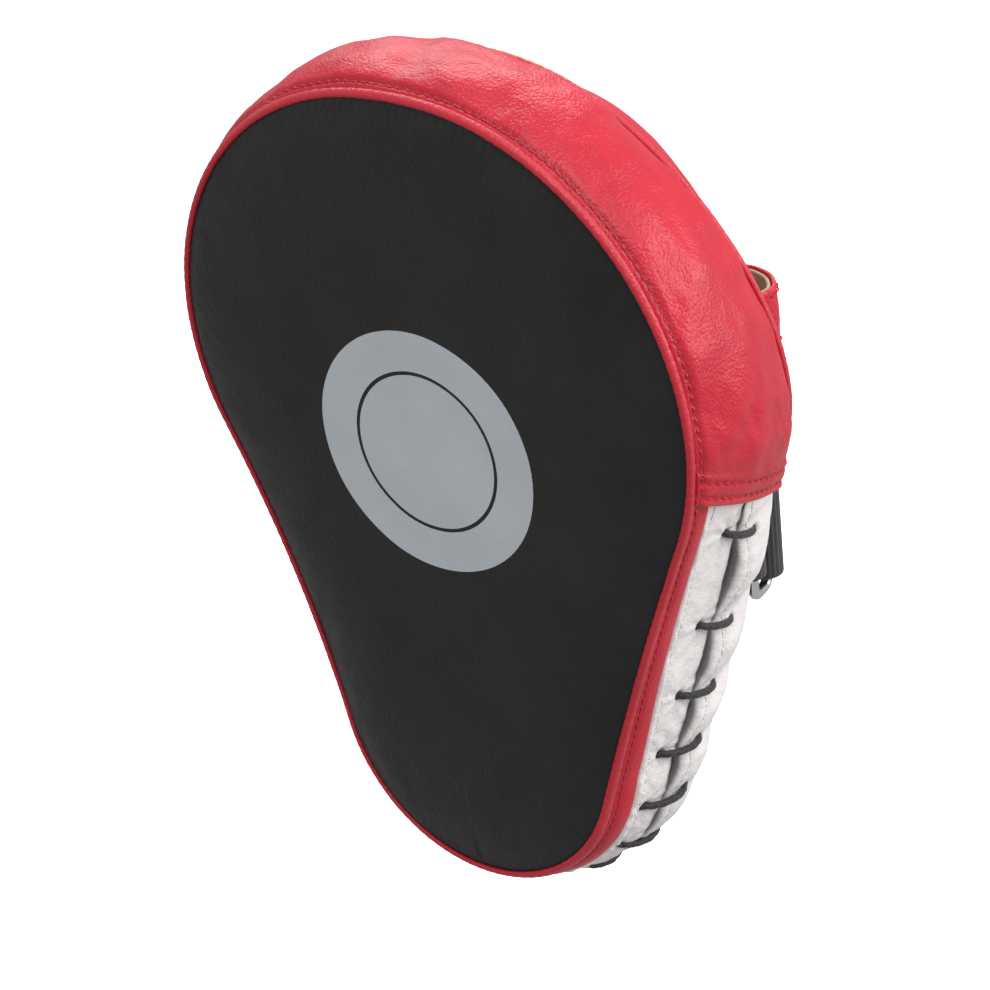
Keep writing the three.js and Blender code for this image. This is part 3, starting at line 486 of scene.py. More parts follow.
def surface(name, colour, dark, light, rough, grain, depth, coarse=None, coarse_depth=0.0,
            sheen=0.0, specular=0.5, coat=0.0, metallic=0.0, patch=45, kind="Voronoi", rough_range=0.12):
    """A procedural surface: colour drifting between dark and light, and a bump of grain.
    grain and coarse are sizes in mm; the mesh's shade attribute paints light into the colour: from 0 down to
    -1 it darkens towards painted shade, from 0 up to 1 it lightens a little towards a painted highlight."""
    made = bpy.data.materials.new(name)
    made.use_nodes = True
    nodes, links = made.node_tree.nodes, made.node_tree.links
    shader = nodes["Principled BSDF"]
    shader.inputs["Metallic"].default_value = metallic
    shader.inputs["Specular IOR Level"].default_value = specular
    shader.inputs["Sheen Weight"].default_value = sheen
    shader.inputs["Coat Weight"].default_value = coat
    place = nodes.new("ShaderNodeTexCoord").outputs["Object"]
    drift = texture(nodes, links, place, "Noise", patch, Detail=4.0, Roughness=0.6)
    tint = ramp(nodes, [c * dark for c in colour], [c * light for c in colour], 0.3, 0.7)
    links.new(drift.outputs["Fac"], tint.inputs["Fac"])
    painted_shading = nodes.new("ShaderNodeAttribute")
    painted_shading.attribute_name = "shade"
    # painted shade: where the shade attribute is negative the colour darkens towards a quarter of itself
    painted_shade = nodes.new("ShaderNodeMixRGB")
    painted_shade.inputs["Color2"].default_value = (*[c * 0.25 for c in colour], 1)
    links.new(arithmetic(nodes, links, "MULTIPLY", painted_shading.outputs["Fac"], -1), painted_shade.inputs["Fac"])
    links.new(tint.outputs["Color"], painted_shade.inputs["Color1"])
    # painted highlight: where the shade attribute is positive the colour lightens towards a pale tint
    painted_highlight = nodes.new("ShaderNodeMixRGB")
    painted_highlight.inputs["Color2"].default_value = (*[min(0.35 + 0.75 * c, 1) for c in colour], 1)
    links.new(arithmetic(nodes, links, "MULTIPLY", painted_shading.outputs["Fac"], 0.3), painted_highlight.inputs["Fac"])
    links.new(painted_shade.outputs["Color"], painted_highlight.inputs["Color1"])
    links.new(painted_highlight.outputs["Color"], shader.inputs["Base Color"])
    gloss = nodes.new("ShaderNodeMapRange")
    gloss.inputs["To Min"].default_value = rough - rough_range
    gloss.inputs["To Max"].default_value = rough + rough_range
    mottle = texture(nodes, links, place, "Noise", patch * 3, Detail=5.0, Roughness=0.65)
    links.new(mottle.outputs["Fac"], gloss.inputs["Value"])
    links.new(gloss.outputs["Result"], shader.inputs["Roughness"])
    if kind == "Voronoi":
        cells = texture(nodes, links, place, "Voronoi", 1000 / grain, feature="SMOOTH_F1")
        height = arithmetic(nodes, links, "MULTIPLY", cells.outputs["Distance"], -1.0)
    else:
        cells = texture(nodes, links, place, "Noise", 1000 / grain, Detail=3.0, Roughness=0.7)
        height = cells.outputs["Fac"]
    bump = nodes.new("ShaderNodeBump")
    bump.inputs["Distance"].default_value = depth * MM
    bump.inputs["Strength"].default_value = 1.0
    links.new(height, bump.inputs["Height"])
    links.new(bump.outputs["Normal"], shader.inputs["Normal"])
    if coarse:
        wide = texture(nodes, links, place, "Noise", 1000 / coarse, Detail=4.0, Roughness=0.6, Distortion=0.6)
        under = nodes.new("ShaderNodeBump")
        under.inputs["Distance"].default_value = coarse_depth * MM
        under.inputs["Strength"].default_value = 1.0
        links.new(wide.outputs["Fac"], under.inputs["Height"])
        links.new(under.outputs["Normal"], bump.inputs["Normal"])
    return made


LOOKS = {
    "black_leather": surface("black_leather", (0.0125, 0.0115, 0.011), 0.8, 1.25, 0.42, 0.9, 0.16, 3.2, 0.1,
                             specular=0.3),
    "red_leather": surface("red_leather", (0.56, 0.018, 0.038), 0.9, 1.08, 0.40, 0.8, 0.2, 5.0, 0.08,
                           specular=0.35),
    "white_leather": surface("white_leather", (0.93, 0.885, 0.875), 0.93, 1.03, 0.5, 0.8, 0.1, 2.6, 0.45),
    "tan_lining": surface("tan_lining", (0.56, 0.36, 0.22), 0.85, 1.1, 0.8, 0.5, 0.05, 2.0, 0.1, sheen=0.2),
    "grey_print": surface("grey_print", (0.50, 0.535, 0.57), 0.96, 1.04, 0.56, 0.75, 0.05, 3.2, 0.08,
                          specular=0.4),
    "dark_foam": surface("dark_foam", (0.06, 0.06, 0.065), 0.8, 1.2, 0.92, 0.9, 0.25, 4, 0.1, kind="Noise"),
    "pale_foam": surface("pale_foam", (0.72, 0.69, 0.60), 0.9, 1.06, 0.92, 1.1, 0.3, 5, 0.1, kind="Noise"),
    "liner_cloth": surface("liner_cloth", (0.03, 0.03, 0.032), 0.75, 1.3, 0.85, 0.5, 0.18, 3, 0.1, sheen=0.3,
                           kind="Noise"),
    "webbing": surface("webbing", (0.022, 0.022, 0.025), 0.7, 1.4, 0.75, 0.35, 0.12, 1.6, 0.1, sheen=0.25,
                       kind="Noise"),
    "tape_hook": surface("tape_hook", (0.025, 0.025, 0.028), 0.8, 1.3, 0.7, 0.8, 0.3, sheen=0.1),
    "tape_loop": surface("tape_loop", (0.04, 0.04, 0.044), 0.7, 1.4, 0.95, 0.5, 0.35, 2, 0.3, sheen=0.5,
                         kind="Noise"),
    "cord": surface("cord", (0.008, 0.008, 0.009), 0.7, 1.5, 0.6, 0.3, 0.08, sheen=0.15, kind="Noise"),
    "steel_wire": surface("steel_wire", (0.78, 0.79, 0.80), 0.95, 1.02, 0.2, 2.0, 0.01, metallic=1.0,
                          kind="Noise", rough_range=0.06),
}


# ---- punched face ----
def face_lift(s, t):
    """How far the padded face stands off its plain crowned shape."""
    _, left, along = edge_polar(s, t)
    gathers = 0.24 * np.exp(-left / 2.2) * np.cos(2 * np.pi * along / STITCH_PITCH)
    creases = 1.1 * np.exp(-left / 16) * folds(along / 17, left / 26, 3) * smoothstep(left, 0, 5)
    rolls = 0.8 * folds(s / 62, t / 62, 9)
    return gathers + creases + rolls


def face_depth(s, t):
    out = np.minimum(edge_polar(s, t)[0], 1)
    return FACE_CROWN * (1 - (1 - out ** 4) ** 0.8) - face_lift(s, t) * (1 - out ** 60)


def polar(shares, radius_s, radius_t):
    """Grid of s, t from just off the middle out to a rim."""
    return shares[None, :] * radius_s[:, None], shares[None, :] * radius_t[:, None]


def front_panel():
    u = np.linspace(0, 1, 900, endpoint=False)
    s_rim, t_rim, _, _ = outline(u)
    shares = np.concatenate([np.linspace(0.02, 0.86, 44), np.linspace(0.875, 1, 26)])
    s, t = polar(shares, s_rim, t_rim)
    depth = face_depth(s, t)
    left = edge_polar(s, t)[1]
    # painted shade: the face darkens within a few mm of its rim, where it rolls back into the piping seam
    shade = -0.55 * np.exp(-left / 1.2)
    points, faces = disc_solid(bend(s, t, depth), bend(s, t, depth + SKIN))
    shade = np.concatenate([shade.ravel(), np.zeros(shade.size + 2)])
    made = piece("punched_face", points, faces, "black_leather", ["front_panel"], shade=shade)


def printed(name, node, inside, outside):
    turn = np.linspace(0, 2 * np.pi, 300, endpoint=False)
    radius = np.linspace(inside, outside, 40)
    s = radius[None] * np.sin(turn)[:, None]
    t = TARGET_HEIGHT + radius[None] * np.cos(turn)[:, None]
    depth = face_depth(s, t)
    front, rear = bend(s, t, depth - 0.14), bend(s, t, depth - 0.03)
    solid = disc_solid if inside < 1 else lambda a, b: sheet_solid(a, b, wrap=True)
    piece(name, *solid(front, rear), "grey_print", [node])


def facing():
    front_panel()
    printed("target_centre", "target_disc", 0.5, TARGET_INNER - TARGET_LINE / 2)
    printed("target_band", "target_ring", TARGET_INNER + TARGET_LINE / 2, TARGET_RADIUS)


# ---- piping ----
def piping(name, node, depth_of, rise_of, height, across, seed):
    """A folded leather edge round the whole outline."""
    u = np.linspace(0, 1, 1100, endpoint=False)
    height_up = outline(u)[1]
    depth, rise = depth_of(height_up), rise_of(height_up)
    centre = wall_point(u, depth, rise)
    outward = wall_point(u, depth, rise + 1) - centre
    rearward = wall_point(u, depth + 1, rise) - centre
    turn = np.linspace(0, 2 * np.pi, 14, endpoint=False)
    along = arc_of(u)[:, None]
    pinch = 0.035 * np.cos(2 * np.pi * along / STITCH_PITCH)
    swell = 1 + 0.05 * folds(along / 6, turn[None] * 0, seed) - pinch
    ring = (outward[:, None] * (height * np.cos(turn))[None, :, None]
            + rearward[:, None] * (across * np.sin(turn))[None, :, None])
    points, faces = tube_solid(centre[:, None] + ring * swell[..., None], closed=True)
    # painted highlight on the roll's outward crest and painted shade on its side turned in against the wall
    shade = np.tile(0.25 * np.clip(np.cos(turn), 0, 1) ** 3 - 0.5 * np.clip(-np.cos(turn), 0, 1), len(u))
    piece(name, points, faces, "red_leather", [node], shade=shade)


FRONT_PIPE_DEPTH, FRONT_PIPE_RISE = 0.2, 0.5
FRONT_PIPE_HALF = (1.15, 1.4)
BACK_PIPE_DEPTH, BACK_PIPE_TUCK, BACK_PIPE_EASE = 0.9, -2.3, 2.0
BACK_PIPE_HALF = (1.2, 1.5)


def pipings():
    piping("face_piping", "front_piping", lambda t: 0 * t + FRONT_PIPE_DEPTH,
           lambda t: 0 * t + FRONT_PIPE_RISE, *FRONT_PIPE_HALF, 11)
    piping("back_welt", "back_piping", lambda t: wall_depth(t) + BACK_PIPE_DEPTH,
           lambda t: BACK_PIPE_TUCK + BACK_PIPE_EASE * smoothstep(t, -15, 25), *BACK_PIPE_HALF, 13)


# ---- side wall ----
FRONT_EDGE = 1.2
BACK_EDGE = 0.3
FRONT_STITCH = 2.8
EDGE_STITCH = 4.4
HEM_LENGTH = 10.5
HEM_ROWS = (3.4, 8.4)
HEM_PITCH = 3.9


def hem_share(depth_share):
    return share_at_height(HEM_HEIGHT_FRONT + (HEM_HEIGHT_BACK - HEM_HEIGHT_FRONT) * depth_share)


def outward(u, depth):
    along = wall_point(u + 1e-4, depth, 0) - wall_point(u - 1e-4, depth, 0)
    across = wall_point(u, depth + 0.1, 0) - wall_point(u, depth - 0.1, 0)
    normal = np.cross(along, across)
    normal /= np.linalg.norm(normal, axis=-1)[..., None]
    lifted = wall_point(u, depth, 1) - wall_point(u, depth, 0)
    return normal * np.sign((normal * lifted).sum(-1))[..., None]


def gusset_lift(u, depth):
    """Outer surface of the upper gusset above the bare wall."""
    t = outline(u)[1]
    deep = wall_depth(t)
    share = depth / deep
    hem = arc_of(hem_share(share)) - np.abs(arc_of(u))
    along = arc_of(u)
    rear = deep - depth
    plump = np.sin(np.pi * np.clip(share, 0, 1)) ** 0.6
    lift = SKIN * 0.8 + 2.2 * plump + 2.1 * plump * folds(along / 34, depth / 24 + along / 90, 21)
    lift += 0.9 * folds(along / 15, depth / 11, 25) * plump
    lift += 2.4 * np.exp(-rear / 8) * smoothstep(rear, 0, 4) * folds(along / 11, rear / 26, 31)
    lift += 0.9 * np.exp(-depth / 7) * smoothstep(depth, 2.5, 6) * folds(along / 8, depth / 18, 37)
    lift += 2.0 * np.exp(-((hem - 22) / 11) ** 2) * folds(depth / 13, hem / 16, 41) * plump
    lift = SKIN + (lift - SKIN) * smoothstep(hem, 2, 22)
    lift += 1.0 * (1 - smoothstep(hem, HEM_LENGTH - 0.8, HEM_LENGTH + 1.2))
    gather = np.cos(2 * np.pi * along / STITCH_PITCH)
    lift -= (0.75 + 0.2 * gather) * np.exp(-((depth - FRONT_STITCH) / 0.8) ** 2)
    for row in HEM_ROWS:
        lift -= (0.5 + 0.25 * np.cos(2 * np.pi * depth / HEM_PITCH)) * np.exp(-((hem - row) / 0.9) ** 2)
    lift -= 0.7 * (1 - smoothstep(depth, FRONT_EDGE - 0.6, FRONT_EDGE + 1.6)) ** 1.3
    lift -= 2.2 * (1 - smoothstep(rear, 0, 3.6)) ** 1.5
    return lift


def upper_gusset():
    """The red upper wall, turned over and stitched at both hems."""
    x = spread(2 * float(arc_of(hem_share(0.5))), 1.2, 0.85)
    y = spread(50, 1.0, 0.95)
    x, y = np.meshgrid(2 * x - 1, y, indexing="ij")
    u = x * hem_share(y)
    deep = wall_depth(outline(u)[1])
    depth = FRONT_EDGE + (deep - FRONT_EDGE - BACK_EDGE) * y
    hem = arc_of(hem_share(y)) - np.abs(arc_of(u))
    lift = gusset_lift(u, depth)
    thick = SKIN + 0.9 * (1 - smoothstep(hem, HEM_LENGTH - 1, HEM_LENGTH + 1))
    inner = wall_point(u, depth, lift - thick)
    lift = lift - rim_drop(hem, 1.1)
    # painted highlight along the hem's folded edge; painted shade in the groove of the front stitch line, at
    # the hem's inner step and along the hem's stitch rows
    shade = 0.35 * np.exp(-hem / 1.2) - 0.45 * np.exp(-((depth - FRONT_STITCH) / 0.9) ** 2)
    shade -= 0.3 * np.exp(-((hem - HEM_LENGTH) / 0.9) ** 2)
    for row in HEM_ROWS:
        shade -= 0.15 * np.exp(-((hem - row) / 0.8) ** 2)
    points, faces = sheet_solid(wall_point(u, depth, lift), inner)
    shade = np.concatenate([shade.ravel(), np.zeros(shade.size)])
    piece("gusset_cover", points, faces, "red_leather", ["upper_gusset"], shade=shade)


def wall_line(u, depth, lift_of):
    lift = lift_of(u, depth)
    return wall_point(u, depth, lift), outward(u, depth)


def gusset_stitches():
    parts = []
    reach = float(hem_share(0.05)) - 0.6 / (2 * HALF_LENGTH)
    u = np.linspace(-reach, reach, 2600)
    parts.append(stitches(wall_line(u, np.full(len(u), FRONT_STITCH), gusset_lift)))
    for side in (-1, 1):
        for row in HEM_ROWS:
            share = np.linspace(0.09, 0.96, 400)
            u = side * (hem_share(share) - row / (2 * HALF_LENGTH))
            depth = share * wall_depth(outline(u)[1])
            parts.append(stitches(wall_line(u, depth, gusset_lift), HEM_PITCH, 2.9, 0.34))
    stitching("gusset_stitching", "red_leather", parts)


LACE_FRONT_INSET = 7
LACE_BACK_INSET = 10.5
LACE_SLANT = 8.5
LACE_SLANT_FADE = 2.2
LACE_DIAMETER = 2.15
LACE_CLEARANCE = 0.35
CORD_STEP = 0.16
BRAID_PITCH = 3.4
RED_SPAN = 10.5
FRONT_SPAN = 17.0
INSET_STITCH = 3.3
LIP_STITCH = 5.2
FINE_STITCH = (3.0, 2.3, 0.24, 0.36, 0.22)


def stitch_shares():
    right = []
    along, extra = 5.0, 17.0
    for _ in range(8):
        right.append(float(share_at_height(0)) + along / (2 * HALF_LENGTH))
        along += 16 + extra
        extra *= 0.45
    return np.array(right + [1 - u for u in reversed(right)])


def eyelets():
    """u and depth of the front and rear eyelet of every stitch."""
    u = stitch_shares()
    order = np.minimum(np.arange(len(u)), np.arange(len(u))[::-1])
    slant = np.maximum(LACE_SLANT - LACE_SLANT_FADE * order, 0) * np.where(u > 0.5, -1, 1) / (2 * HALF_LENGTH)
    front, rear = u - slant / 2, u + slant / 2
    return (front, LACE_LINE_SHARE * wall_depth(outline(front)[1]) - LACE_FRONT_INSET,
            rear, LACE_LINE_SHARE * wall_depth(outline(rear)[1]) + LACE_BACK_INSET)


def near(u, depth, eye_u, eye_depth):
    """Distance in mm from a place on the wall to the nearest eyelet."""
    away = np.full(np.broadcast(u, depth).shape, 1e3)
    for a, b in zip(eye_u, eye_depth):
        away = np.minimum(away, np.hypot(arc_of(u - a), depth - b))
    return away


def between(u):
    """0 at a stitch, 1 halfway between two."""
    stations = stitch_shares()
    stations = np.concatenate([[2 * stations[0] - stations[1]], stations, [2 * stations[-1] - stations[-2]]])
    k = np.clip(np.searchsorted(stations, u) - 1, 0, len(stations) - 2)
    share = (u - stations[k]) / (stations[k + 1] - stations[k])
    span = arc_of(stations[k + 1] - stations[k])
    return np.sin(np.pi * np.clip(share, 0, 1)) ** 1.2, span


def past_hem(u, share):
    return arc_of(np.minimum(u, 1 - u) - hem_share(share))


def strip(name, node, look, front_of, rear_of, shape, edge=0.9, pitch=0.85, across=0.8, painted_shading=None):
    """A strip of the lower wall; shape(u, depth, y, width) gives the lift and thickness."""
    middle = (front_of(50.0) + rear_of(50.0)) / 2 / 50.0
    start = float(hem_share(middle)) - HEM_TUCK / (2 * HALF_LENGTH)
    x = spread(float(arc_of(1 - 2 * start)), edge, pitch)
    width = rear_of(50.0) - front_of(50.0)
    y = spread(width, edge, across)
    x, y = np.meshgrid(x, y, indexing="ij")
    u0 = hem_share((front_of(50.0) + width * y) / 50.0) - HEM_TUCK / (2 * HALF_LENGTH)
    u = u0 + (1 - 2 * u0) * x
    deep = wall_depth(outline(u)[1])
    open_front, open_rear = slit_pull(u, node)
    first, last = front_of(deep) + open_front, rear_of(deep) + open_rear
    depth = first + (last - first) * y
    lift, thick = shape(u, depth, y, last - first)
    # painted shade at the eyelets and along the laced slit, where a mark function is given
    shade = np.zeros_like(lift) if painted_shading is None else painted_shading(u, depth, y, last - first)
    points, faces = sheet_solid(wall_point(u, depth, lift), wall_point(u, depth, lift - thick))
    # painted shade: the strip's underside and cut edges are darkened as if in shadow
    shade = np.concatenate([shade.ravel(), np.full(shade.size, -0.9)])
    piece(name, points, faces, look, [node], shade=shade)


def calm(u):
    """0 at the heel, where the strips lie flat, 1 along the flanks."""
    return smoothstep(np.abs(arc_of(np.asarray(u) - 0.5)), 25, 85)


def slit_pull(u, node):
    """The slit's lips are drawn together at each stitch and gape between."""
    gape, span = between(u)
    gape = gape * smoothstep(past_hem(u, 0.55), -6, 8) * np.clip(span / 24, 0.5, 1.3)
    wander = folds(arc_of(u) / 14, 0 * u, 51)
    if node == "front_lace_strip":
        return 0 * u, 0.8 - (1.3 + 0.9 * wander) * gape
    if node == "back_lace_strip":
        return -0.8 + (1.7 + 1.1 * wander) * gape, 0 * u
    return 0 * u, 0 * u


def front_strip_lift(u, depth, y, width):
    front_u, front_depth, _, _ = eyelets()
    fold = smoothstep(past_hem(u, 0.4), 0, 5)
    from_edge, to_slit = y * width, (1 - y) * width
    lift = STRIP_LIFT + 0.6 * folds(arc_of(u) / 10, depth / 8, 61) * fold
    lift = lift + fold * 0.75 * (1 - smoothstep(from_edge, 1.6, 2.8))
    lift -= fold * 0.35 * np.exp(-((from_edge - 3.2) / 0.55) ** 2)
    gape, _ = between(u)
    lift += fold * (0.3 + 0.9 * gape) * np.exp(-to_slit / 4.5)
    away = near(u, depth, front_u, front_depth)
    angle = np.arctan2(depth - np.interp(u, front_u, front_depth), 1e-6 + arc_of(u - front_u[
        np.argmin(np.abs(np.asarray(u)[..., None] - front_u), -1)]))
    rays = np.sin(7 * angle + 3 * folds(u * 90, 0, 5))
    lift += fold * 0.6 * np.exp(-away / 7) * smoothstep(away, 1.5, 4) * rays
    lift -= 1.2 * np.exp(-(away / 1.4) ** 2)
    lift -= rim_drop(np.minimum(from_edge, to_slit), 0.9)
    return lift, np.full(np.shape(lift), SKIN)


def back_strip_lift(u, depth, y, width):
    _, _, rear_u, rear_depth = eyelets()
    fold = smoothstep(past_hem(u, 0.75), 0, 7)
    gape, span = between(u)
    from_slit, from_seam = y * width, (1 - y) * width
    crown = np.sin(np.pi * np.clip(0.12 + 0.82 * y, 0, 1)) ** 0.7
    puff = (0.2 + 0.7 * calm(u) + 3.2 * gape * calm(u) * np.clip(span / 26, 0.6, 1.2)) * crown
    lift = STRIP_LIFT + fold * puff + 0.7 * folds(arc_of(u) / 9, depth / 8, 71) * fold
    away = near(u, depth, rear_u, rear_depth)
    puckers = folds(arc_of(u) / 2.6, depth / 9, 75)
    lift += fold * 0.5 * np.exp(-away / 8) * smoothstep(away, 1.5, 4.5) * puckers
    lift -= 1.3 * np.exp(-(away / 1.4) ** 2)
    lift -= fold * 0.5 * np.exp(-((from_slit - 5.2) / 0.8) ** 2)
    lift -= rim_drop(from_slit, 2.4) * fold + rim_drop(from_seam, 1.6)
    return lift, np.full(np.shape(lift), SKIN)


def red_strip_lift(u, depth, y, width):
    fold = smoothstep(past_hem(u, 0.1), 0, 5)
    lift = STRIP_LIFT + fold * (0.9 * np.sin(np.pi * y) ** 0.7 + 0.3 * folds(arc_of(u) / 12, depth / 7, 81))
    lift -= fold * 0.4 * np.exp(-((depth - EDGE_STITCH) / 0.6) ** 2)
    lift -= 0.6 * (1 - smoothstep(depth, FRONT_EDGE, FRONT_EDGE + 2.4))
    lift -= rim_drop((1 - y) * width, 0.6)
    return lift, np.full(np.shape(lift), SKIN)


def slit_front(deep):
    return LACE_LINE_SHARE * deep - 1


def slit_rear(deep):
    return LACE_LINE_SHARE * deep + 1


def eyelet_and_slit_shade(eye_u, eye_depth, slit_at):
    def painted_shading(u, depth, y, width):
        away = near(u, depth, eye_u, eye_depth)
        to_slit = np.abs(y - slit_at) * width
        # painted shade: dark in and round each eyelet and in a line along the laced slit, standing in for the
        # shadow in the holes and in the gap
        return (-0.95 * np.exp(-(away / 1.5) ** 4) - 0.12 * np.exp(-away / 5)
                - 1.1 * np.exp(-(to_slit / 0.9) ** 2) - 0.25 * np.exp(-to_slit / 2.5))
    return painted_shading


def lower_wall():
    """The red strip along the face and the two white strips beside the laced slit."""
    front_u, front_depth, rear_u, rear_depth = eyelets()
    strip("red_edge_strip", "lower_red_strip", "red_leather", lambda deep: FRONT_EDGE + 0 * deep,
          lambda deep: RED_STRIP_WIDTH + 0.3 + 0 * deep, red_strip_lift)
    strip("lace_strip_front", "front_lace_strip", "white_leather",
          lambda deep: RED_STRIP_WIDTH + 0.1 + 0 * deep, slit_front, front_strip_lift,
          painted_shading=eyelet_and_slit_shade(front_u, front_depth, 1))
    strip("lace_strip_back", "back_lace_strip", "white_leather", slit_rear,
          lambda deep: deep - BACK_EDGE, back_strip_lift, painted_shading=eyelet_and_slit_shade(rear_u, rear_depth, 0))


def lower_stitches():
    start = float(hem_share(0.1)) + 1.2 / (2 * HALF_LENGTH)
    u = np.linspace(start, 1 - start, 2600)
    deep = wall_depth(outline(u)[1])
    width = deep - BACK_EDGE - slit_rear(deep)

    def on_red(a, b):
        return red_strip_lift(a, b, (b - FRONT_EDGE) / RED_SPAN, RED_SPAN)[0] + 0.1

    def on_front(a, b):
        return front_strip_lift(a, b, (b - RED_STRIP_WIDTH) / FRONT_SPAN, FRONT_SPAN)[0] + 0.1

    def on_back_strip(a, b):
        return back_strip_lift(a, b, LIP_STITCH / width, width)[0] + 0.12
    seam = np.full(len(u), EDGE_STITCH)
    stitching("edge_strip_stitching", "red_leather", [stitches(wall_line(u, seam, on_red))])
    inset = np.full(len(u), RED_STRIP_WIDTH + INSET_STITCH)
    lip = slit_rear(deep) + slit_pull(u, "back_lace_strip")[0] + LIP_STITCH
    white = [stitches(wall_line(u, inset, on_front), *FINE_STITCH),
             stitches(wall_line(u, lip, on_back_strip), *FINE_STITCH)]
    stitching("lace_strip_stitching", "white_leather", white)


def catmull(points, steps):
    """Smooth curve through points, steps samples to each stretch."""
    p = np.concatenate([[2 * points[0] - points[1]], points, [2 * points[-1] - points[-2]]])
    x = np.linspace(0, 1, steps, endpoint=False)[None, :, None]
    a, b, c, d = (p[k:len(p) - 3 + k, None] for k in range(4))
    curve = 0.5 * (2 * b + (c - a) * x + (2 * a - 5 * b + 4 * c - d) * x ** 2
                   + (3 * b - a - 3 * c + d) * x ** 3)
    return np.concatenate([curve.reshape(-1, points.shape[1]), points[-1:]])


def lace():
    """One cord, out through a front eyelet and in through the rear one, stitch after stitch."""
    front_u, front_depth, rear_u, rear_depth = eyelets()
    below = STRIP_LIFT - SKIN - LACE_DIAMETER / 2 - 2 * LACE_CLEARANCE
    path = []
    for fu, fd, ru, rd in zip(front_u, front_depth, rear_u, rear_depth):
        mid = (fu + ru) / 2
        above = STRIP_LIFT + LACE_DIAMETER / 2 + LACE_CLEARANCE - 1.3 * (1 - float(calm(mid)))
        for u, depth, lift in ((fu, fd - 0.4, below), (fu, fd, above - 1.0),
                               (fu * 0.72 + ru * 0.28, fd * 0.72 + rd * 0.28, above + 0.5),
                               (mid, (fd + rd) / 2, above + 0.8),
                               (fu * 0.25 + ru * 0.75, fd * 0.25 + rd * 0.75, above + 0.8),
                               (ru, rd, above - 0.7), (ru, rd + 0.4, below)):
            path.append(wall_point(np.array(u), np.array(depth), lift))
    path = catmull(np.array(path), 14)
    along = running_length(path)
    path = sampled(path, along, np.arange(0, along[-1], CORD_STEP))

    def braid(k, turn):
        wave = 2 * np.pi * k * CORD_STEP / BRAID_PITCH
        return 0.13 * np.maximum(np.cos(3 * turn + wave), np.cos(3 * turn - wave)) - 0.05
    points, faces = round_tube(path, LACE_DIAMETER / 2, 16, relief=braid)
    shade = 0.5 * (np.random.default_rng(5).random(len(points)) - 0.6)
    piece("lace", points, faces, "cord", ["lace_cord"], shade=shade)


# ---- hand side ----
BACK_SEAMS = (-52, 52)
BACK_RIM_INSET = 1.6


def back_cover():
    u = np.linspace(0, 1, 400, endpoint=False)
    s_rim, t_rim, ns, nt = outline(u)
    flare = back_flare(t_rim) - BACK_RIM_INSET
    shares = np.concatenate([np.linspace(0.02, 0.9, 40), np.linspace(0.92, 1, 12)])
    s, t = polar(shares, s_rim + ns * flare, t_rim + nt * flare)
    _, left, along = edge_polar(s, t)
    rise = 0.5 * folds(s / 24, t / 30, 91) + 0.9 * np.exp(-left / 9) * folds(along / 12, left / 15, 95)
    for height in BACK_SEAMS:
        rise = rise - 0.5 * np.exp(-((t - height) / 1.0) ** 2)
    rear = on_back(s, t, np.clip(rise, -0.9, 0.6))
    points, faces = disc_solid(rear, on_back(s, t, -SKIN))
    piece("back_cover", points, faces, "black_leather", ["back_panel"])


HOOD_MOUTH, HOOD_TIP, HOOD_HEIGHT, HOOD_EDGE_INSET = 66, 114, 27, 8
HOOD_WALL = SKIN + 3 + 1 + 2 * 0.9
HOOD_ARCH = 1.0
HOOD_SEAT = 1.2


def hood_point(angle, along, inward, puff=0.0):
    t = HOOD_MOUTH + (HOOD_TIP - inward - HOOD_MOUTH) * along
    flank = flank_at(t, 0) + back_flare(t) - HOOD_EDGE_INSET - inward
    rounded = np.maximum(np.sqrt(1 - along ** 3), 0.06)
    rise = (HOOD_HEIGHT - inward) * rounded * np.sin(angle) ** HOOD_ARCH
    return on_back(flank * np.cos(angle), t, HOOD_SEAT + rise + puff * np.sin(angle) ** 0.4)


def hood_sheet(name, node, look, near_side, far_side, seed, height):
    x = spread(200, 1.5, 1.6)
    y = spread(50, 1.0, 1.0)
    x, y = np.meshgrid(x, y, indexing="ij")
    angle = np.pi * x
    creases = folds(x * 11, y * 3, seed)
    puff = height * (np.sin(np.pi * np.clip(y, 0, 1)) ** 0.6 * 0.9 + 0.7 * creases * smoothstep(y, 0.02, 0.3))
    puff -= height * 0.9 * np.exp(-((y - 0.13) / 0.02) ** 2)
    outer = hood_point(angle, y, near_side, puff)
    inner = hood_point(angle, y, far_side, puff * 0.3)
    return piece(name, *sheet_solid(outer, inner), look, [node])


def finger_hood():
    """The pocket over the fingers: cover, lining, bound mouth and three dividers."""
    cover = hood_sheet("hood_cover", "hood_shell", "red_leather", 0, SKIN, 101, 1.0)
    hood_sheet("hood_lining_cloth", "hood_lining", "tan_lining", HOOD_WALL - 1, HOOD_WALL, 105, 0.4)
    angle = np.linspace(0.03, 0.97, 260) * np.pi
    path = hood_point(angle, np.zeros(260), HOOD_WALL / 2) - np.array([0, 0, 1.4])
    _, side, normal = frames(path, up=np.array([0, 0, 1.0]))
    turn = np.linspace(0, 2 * np.pi, 16, endpoint=False)
    across = HOOD_WALL / 2 + 0.5
    swell = 1 + 0.05 * folds(np.arange(260)[:, None] / 7, turn[None], 7)
    ring = (side[:, None] * (across * np.sign(np.cos(turn)) * np.abs(np.cos(turn)) ** 0.7)[None, :, None]
            + normal[:, None] * (2.2 * np.sin(turn))[None, :, None])
    piece("hood_edge_binding", *tube_solid(path[:, None] + ring * swell[..., None]), "black_leather",
          ["hood_binding"])
    line = hood_point(angle, np.full(260, 0.13), 0, -0.15)
    out = hood_point(angle, np.full(260, 0.13), -1) - hood_point(angle, np.full(260, 0.13), 0)
    out /= np.linalg.norm(out, axis=1)[:, None]
    stitching("hood_stitching", "red_leather", [stitches((line, out), 3.6, 2.7)])
    for k in (1, 2, 3):
        divider(k)


